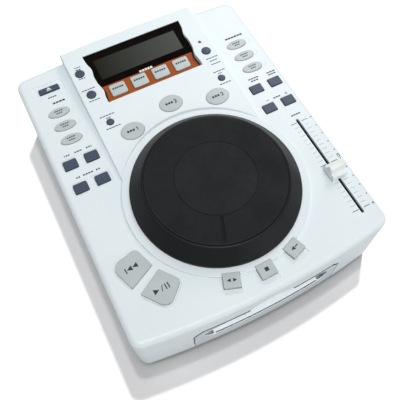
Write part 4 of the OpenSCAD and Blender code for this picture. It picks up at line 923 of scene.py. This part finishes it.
def casing_screws():
    """Six pan-head screws that hold the base plate."""
    obj = grown("screws", screw_rows(), {
        "Columns": SCREW_X * MM, "Head Radius": 2.8 * MM, "Head Height": 1.2 * MM, "Shank Radius": 1.5 * MM,
        "Shank Length": 12 * MM, "Base": 6.9 * MM, "Steel": FINISH["steel"]})
    return finished(obj, "casing", "steel", "case_screws")


# ---------------------------------------------------------------- pitch fader

def pitch_cap():
    """Fader knob: a broad base, a raised grip across it, and the lever that runs in the slot."""
    half_l, half_w, lift, base_h, knob_h, ridge = 7.85, 7.7, 0.8, 5.5, 12.5, 2.25
    side = [Vector(p) for p in ((-half_l, lift), (half_l, lift), (half_l - 0.6, lift + base_h),
                                (ridge + 1.2, lift + base_h + 1.2), (ridge, knob_h), (-ridge, knob_h),
                                (-ridge - 1.2, lift + base_h + 1.2), (-half_l + 0.6, lift + base_h))]
    place = at(FADER_X, KNOB_Y, PANEL_Z)
    obj = solid("pitch_cap", side, [(0, -half_w), (0, half_w)], place @ about("Z", 90) @ STOOD_UP, "knob", "ink")
    soften(obj, 0.55, 3, 20)
    cut_all(obj, "lever", [(box_outline(-0.8, 0.8, -3, 3), [(0, -13), (0, 3)], place)], "UNION")
    return finished(obj, "pitch", "plastic_white", "pitch_knob")


# ---------------------------------------------------------------- printed marks

INK_ROOT, INK_TOP = -0.02, 0.05


def filled(bm, place, points):
    """A printed shape with a solid fill, just proud of its surface."""
    loft(bm, [Vector(p) for p in points], [(0, INK_ROOT), (0, INK_TOP)], place)


def stroke(bm, place, points, width):
    """A straight printed line between each pair of points."""
    for a, b in zip(points, points[1:]):
        a, b = Vector(a), Vector(b)
        along = (b - a).normalized()
        side = Vector((-along.y, along.x)) * width / 2
        along = along * width * 0.25
        filled(bm, place, (a - along - side, b + along - side, b + along + side, a - along + side))


def triangle(cx, half, way):
    """Arrowhead to the right (way 1) or left (way -1), anticlockwise."""
    return [(cx + way * half, 0), (cx - way * half, way * half), (cx - way * half, -way * half)]


def digit(bm, place, which, height, width):
    """A plain numeral or sign drawn with straight strokes, centred on its place."""
    w, h = height * 0.28, height / 2
    runs = {
        "1": [[(-w * 0.7, h * 0.55), (0.1 * w, h), (0.1 * w, -h)]],
        "2": [[(-w, h * 0.6), (-w * 0.5, h), (w * 0.5, h), (w, h * 0.6), (w, h * 0.2), (-w, -h), (w, -h)]],
        "3": [[(-w, h * 0.75), (-w * 0.4, h), (w * 0.5, h), (w, h * 0.6), (w * 0.4, 0), (w, -h * 0.6), (w * 0.5, -h),
               (-w * 0.4, -h), (-w, -h * 0.75)]],
        "0": [[(-w, h * 0.5), (-w * 0.5, h), (w * 0.5, h), (w, h * 0.5), (w, -h * 0.5), (w * 0.5, -h), (-w * 0.5, -h),
               (-w, -h * 0.5), (-w, h * 0.5)]],
        "+": [[(-w, 0), (w, 0)], [(0, -w), (0, w)]],
        "-": [[(-w, 0), (w, 0)]],
    }[which]
    for run in runs:
        stroke(bm, place, run, width)


def dashes(bm, place, length, width, count, gap=0.5):
    """A broken bar that keeps the place of a printed word."""
    each = (length - gap * (count - 1)) / count
    for i in range(count):
        x = -length / 2 + i * (each + gap)
        stroke(bm, place, [(x + width * 0.25, 0), (x + each - width * 0.25, 0)], width)


# x, y, length and number of dashes
PANEL_BARS = ((-91.9, 44.2, 7.0, 3), (-92.2, 18.6, 9.5, 4), (EJECT_X, 112.6, 8.0, 4), (-88.0, 104.6, 12.0, 4),
              (98.4, 99.2, 19.0, 6), (90.0, 43.6, 11.0, 4), (90.0, 40.8, 8.0, 3), (109.0, 43.0, 9.0, 3),
              (109.0, 40.2, 8.0, 3), (98.8, 13.9, 7.5, 3), (104.1, -11.7, 9.5, 4))
DECK_BARS = ((-58.6, 127.0, 6.0, 3), (-58.8, 124.3, 5.0, 2), (-59.2, 112.9, 6.5, 3), (-58.5, 98.8, 13.0, 5),
             (-57.8, 85.0, 10.5, 4), (-54.1, 64.2, 14.5, 5), (-54.0, 61.3, 4.0, 2), (-53.6, 50.0, 14.0, 5),
             (63.5, 80.2, 12.0, 4), (63.5, 76.6, 8.0, 3), (64.0, 72.4, 9.5, 4), (62.4, 63.0, 12.0, 4),
             (61.8, 60.0, 4.0, 2), (61.4, 47.9, 11.5, 4))
# signs over the skip and search keys: x, y, the way they point, and whether a bar ends them
ARROWS = ((-102.3, 44.2, -1, True), (-81.7, 44.2, 1, True), (-102.0, 18.6, -1, False), (-82.3, 18.6, 1, False))


def casing_marks():
    """Marks printed on the casing: transport signs, signs beside the keys and bars in place of words."""
    bm = bmesh.new()
    for x, y, way, barred in ARROWS:
        place = placed("panel", x, y)
        for shift in (-1.1, 1.1):
            filled(bm, place, triangle(shift, 1.05, way))
        if barred:
            stroke(bm, place, [(way * 2.6, -1.0), (way * 2.6, 1.0)], 0.5)
    for x, y, length, count in PANEL_BARS:
        dashes(bm, placed("panel", x, y), length, 1.9 if length > 11.5 else 1.3, count)
    for x, y, length, count in DECK_BARS:
        dashes(bm, placed("deck", x, y), length, 0.95, count)
    digit(bm, placed("panel", 88.9, 14.0), "-", 4.4, 0.55)
    digit(bm, placed("panel", 109.0, 13.9), "+", 4.6, 0.55)
    return finished(to_object(bm, "casing_marks", "ink"), "casing", None)


def fader_scale():
    """Scale beside the pitch fader: fine ticks every 5 mm, longer ones at the ends and the middle, and signs."""
    first, pitch, z, sign_x = FADER_Y + FADER_TRAVEL / 2, 5.0, PANEL_Z + 0.015, 114.8
    tree = tick_row()
    for name, x, length, width, height, every, skipped, ink in (
            ("ticks_left", 97.4, 4.6, 0.45, 0.05, 1, 0, "pale"), ("ticks_right", 107.8, 4.6, 0.45, 0.05, 1, 0, "pale"),
            ("ticks_left_long", 96.9, 6.0, 0.6, 0.08, 10, 0, "ink"),
            ("ticks_right_long", 108.3, 6.0, 0.6, 0.08, 10, 0, "ink"),
            ("dots_right", sign_x, 1.0, 1.0, 0.05, 2, 1, "ink")):
        finished(grown(name, tree, {
            "Count": int(FADER_TRAVEL / pitch / every) + 1 - 2 * skipped, "Pitch": -pitch * every * MM,
            "Length": length * MM, "Width": width * MM, "Height": height * MM,
            "Start": (x * MM, (first - pitch * every * skipped) * MM, z * MM), "Ink": FINISH[ink]}), "casing", None)
    bm = bmesh.new()
    for sign, down, height in (("-", 0, 4.0), ("0", FADER_TRAVEL / 2 - 3.4, 3.2), ("+", FADER_TRAVEL, 4.0)):
        digit(bm, placed("panel", sign_x, first - down), sign, height, 0.5)
    return finished(to_object(bm, "fader_signs", "ink"), "casing", None)


# filled shapes, then strokes with their width, about the middle of the cap
SIGNS = {
    "eject_key": ([[(-2.4, -0.6), (2.4, -0.6), (0, 2.0)]], [(-2.2, -1.7, 2.2, -1.7, 0.7)]),
    "cue_key": ([triangle(-2.2, 2.3, -1), triangle(2.9, 2.3, -1)], [(-5.6, -2.2, -5.6, 2.2, 0.95)]),
    "play_key": ([triangle(-5.0, 2.4, 1)], [(-1.0, -2.3, 0.9, 2.3, 0.7), (3.2, -2.3, 3.2, 2.3, 0.95),
                                            (5.6, -2.3, 5.6, 2.3, 0.95)]),
    "scratch_key": ([triangle(-2.6, 1.6, -1), triangle(2.6, 1.6, 1)], []),
    "brake_key": ([[(-1.7, -1.7), (1.7, -1.7), (1.7, 1.7), (-1.7, 1.7)]], []),
    "reverse_key": ([triangle(-1.6, 1.8, -1)], [(0.8, 0, 4.0, 0, 0.9)]),
}
# broken bars on a cap: x, y, length, width, number of dashes, gap
CAP_BARS = {"cue_oval": [(-1.8, 0, 7.4, 2.2, 3, 0.7)], "effect": [(0, 1.2, 11.0, 1.7, 5, 0.6)],
            "oval": [(0, 1.3, 8.0, 1.1, 4, 0.5), (0, -1.5, 5.5, 1.1, 3, 0.5)]}


def key_marks():
    """Signs printed on the key caps, each riding on its own key."""
    for name, surface, x, y, turn, shape, _ in KEYS:
        if name not in SIGNS and shape not in CAP_BARS:
            continue
        proud = FORMS[shape][0]
        place = placed(surface, x, y) @ at(z=proud)
        if surface == "jog":
            radius, lean = {"cue": (CAP_R, 8), "play": (CAP_R, 4)}.get(shape, (RING_KEY_R, turn + 90))
            place = Matrix.Translation(placed(surface, turn=turn) @ Vector((radius, 0, proud))) @ about("Z", lean)
        bm = bmesh.new()
        for along, across, length, width, count, gap in CAP_BARS.get(shape, []):
            dashes(bm, place @ at(along, across), length, width, count, gap)
        if shape == "cue_oval":
            digit(bm, place @ at(4.6), name[-1], 3.4, 0.7)
        fills, strokes = SIGNS.get(name, ([], []))
        for points in fills:
            filled(bm, place, points)
        for x0, y0, x1, y1, width in strokes:
            stroke(bm, place, [(x0, y0), (x1, y1)], width)
        finished(to_object(bm, name.replace("_key", "_sign"), "print" if shape == "eject" else "ink"), name, None)


def strip_marks():
    """White broken bar over the effect keys, on the boundary of window and strip."""
    bm = bmesh.new()
    dashes(bm, placed("window", 1.0, 99.3), 13.5, 2.2, 5, 0.6)
    return finished(to_object(bm, "strip_marks", "print"), "casing", None)


# ---------------------------------------------------------------- back and inside

def dress_frame():
    """Better finishes for the CAD nodes that keep their shape."""
    for finish, nodes in {
        "black": ("rear_panel", "lcd_module", "mech_frame", "disc_tray", "disc_spindle", "power_inlet", "power_switch",
                  "fader_body"),
        "steel": ("spindle_motor", "jog_shaft", "pickup_sled"),
        "bronze": ("jog_bearing",), "board": ("panel_board", "main_board"), "nickel": ("output_sockets",),
        "pom": ("tray_gear", "disc_clamp"),
    }.items():
        for name in nodes:
            mesh = frame["nodes"][name].data
            mesh.materials.clear()
            mesh.materials.append(FINISH[finish])


# ---------------------------------------------------------------- stage, light and camera

def stage():
    """Pale floor that keeps the shadow and reads white to the camera where it is fully lit."""
    floor = solid("floor", box_outline(-4000, 4000, -4000, 4000), [(0, -20), (0, -0.05)])
    material, tree = blank("studio_paper_matt")
    path = node(tree, "ShaderNodeLightPath")
    tone = node(tree, "ShaderNodeMix", {"Factor": path.outputs["Is Camera Ray"], 6: (0.70, 0.70, 0.70, 1),
                                        7: (1.12, 1.10, 1.10, 1)}, data_type="RGBA")
    floor.data.materials.append(shaded(material, "ShaderNodeBsdfDiffuse", {"Color": tone.outputs[2]}))


def lamp_at(name, lamp, turned, receivers, place=(0, 0, 0)):
    """Sets a lamp that shines against a direction and lights only some of the objects."""
    made = bpy.data.objects.new(name, lamp)
    made.location = place
    made.rotation_euler = turned.to_track_quat("Z", "Y").to_euler()
    made.light_linking.receiver_collection = receivers
    bpy.context.scene.collection.objects.link(made)


BACK_PANEL_PLACE, BACK_PANEL_W = Vector((0.50, 0.50, 0.72)), 2.6


def light():
    """Three small lamps draw the shadow on the floor; two soft front lamps and a panel behind light the player."""
    scene = bpy.context.scene
    floor_only = bpy.data.collections.new("paper")
    player_only = bpy.data.collections.new("player")
    for obj in scene.objects:
        if obj.type == "MESH":
            (floor_only if obj.name == "floor" else player_only).objects.link(obj)
    # name, where it stands, its share of a level surface's light, spread in degrees, what it lights
    for name, toward, share, spread, receivers in (
            ("outer shadow", (0.27, 0.325, 1.0), 0.45, 3.0, floor_only),
            ("inner shadow", (0.11, 0.135, 1.0), 0.15, 3.0, floor_only),
            ("shadow fill", (0.0, 0.0, 1.0), 0.09, 3.0, floor_only),
            ("front lamp", (-0.05, -0.34, 1.0), 0.49, 30.0, player_only),
            ("low front lamp", (0.5, -1.0, 0.35), 0.035, 40.0, player_only)):
        toward = Vector(toward).normalized()
        lamp = bpy.data.lights.new(name, "SUN")
        lamp.energy = share * math.pi / toward.z
        lamp.angle = math.radians(spread)
        lamp_at(name, lamp, toward, receivers)
    panel = bpy.data.lights.new("back panel", "AREA")
    panel.shape, panel.size, panel.energy = "DISK", 0.45, BACK_PANEL_W
    lamp_at("back panel", panel, BACK_PANEL_PLACE - Vector((0, 0, 0.08)), player_only, BACK_PANEL_PLACE)
    world = bpy.data.worlds.new("surround")
    world.use_nodes = True
    tree = world.node_tree
    tree.nodes.clear()
    path = node(tree, "ShaderNodeLightPath")
    seen = node(tree, "ShaderNodeMix", {"Factor": path.outputs["Is Camera Ray"], 6: (0.300, 0.305, 0.310, 1),
                                        7: (1.0, 1.0, 1.0, 1)}, data_type="RGBA")
    surround = node(tree, "ShaderNodeBackground", {"Color": seen.outputs[2], "Strength": 1.0})
    node(tree, "ShaderNodeOutputWorld", {"Surface": surround.outputs[0]})
    scene.world = world


CAMERA_PLACE = Vector((-104.46, -232.82, 485.20))
CAMERA_AZIMUTH, CAMERA_ELEVATION, CAMERA_ROLL = -25.886, 63.540, -1.229
CAMERA_FOCUS_PX = 527.76
PHOTO_PX, SENSOR_MM = 400, 36.0


def camera():
    """Camera as solved from the photograph."""
    a, e, r = (math.radians(v) for v in (CAMERA_AZIMUTH, CAMERA_ELEVATION, CAMERA_ROLL))
    back = Vector((math.sin(a) * math.cos(e), -math.cos(a) * math.cos(e), math.sin(e)))
    level = Vector((0, 0, 1)).cross(back).normalized()
    rise = back.cross(level)
    right = level * math.cos(r) + rise * math.sin(r)
    up = rise * math.cos(r) - level * math.sin(r)
    data = bpy.data.cameras.new("camera")
    data.sensor_width = SENSOR_MM
    data.lens = CAMERA_FOCUS_PX * SENSOR_MM / PHOTO_PX
    data.clip_start = 0.01
    data.clip_end = 50
    made = bpy.data.objects.new("camera", data)
    place = Matrix((right, up, back)).transposed().to_4x4()
    place.translation = CAMERA_PLACE * MM
    made.matrix_world = place
    bpy.context.scene.collection.objects.link(made)
    bpy.context.scene.camera = made


def main():
    """Makes every piece, then the stage, the light and the camera."""
    casing_top()
    casing_base()
    rubber_feet()
    casing_screws()
    tray_fascia()
    window_pieces()
    window_shade_strip()
    status_lamp()
    jog_rim()
    jog_top()
    jog_ribs()
    for row in KEYS:
        key_cap(*row)
    pitch_cap()
    casing_marks()
    fader_scale()
    key_marks()
    strip_marks()
    dress_frame()
    stage()
    light()
    camera()
    bpy.context.scene.view_settings.view_transform = "Standard"


main()
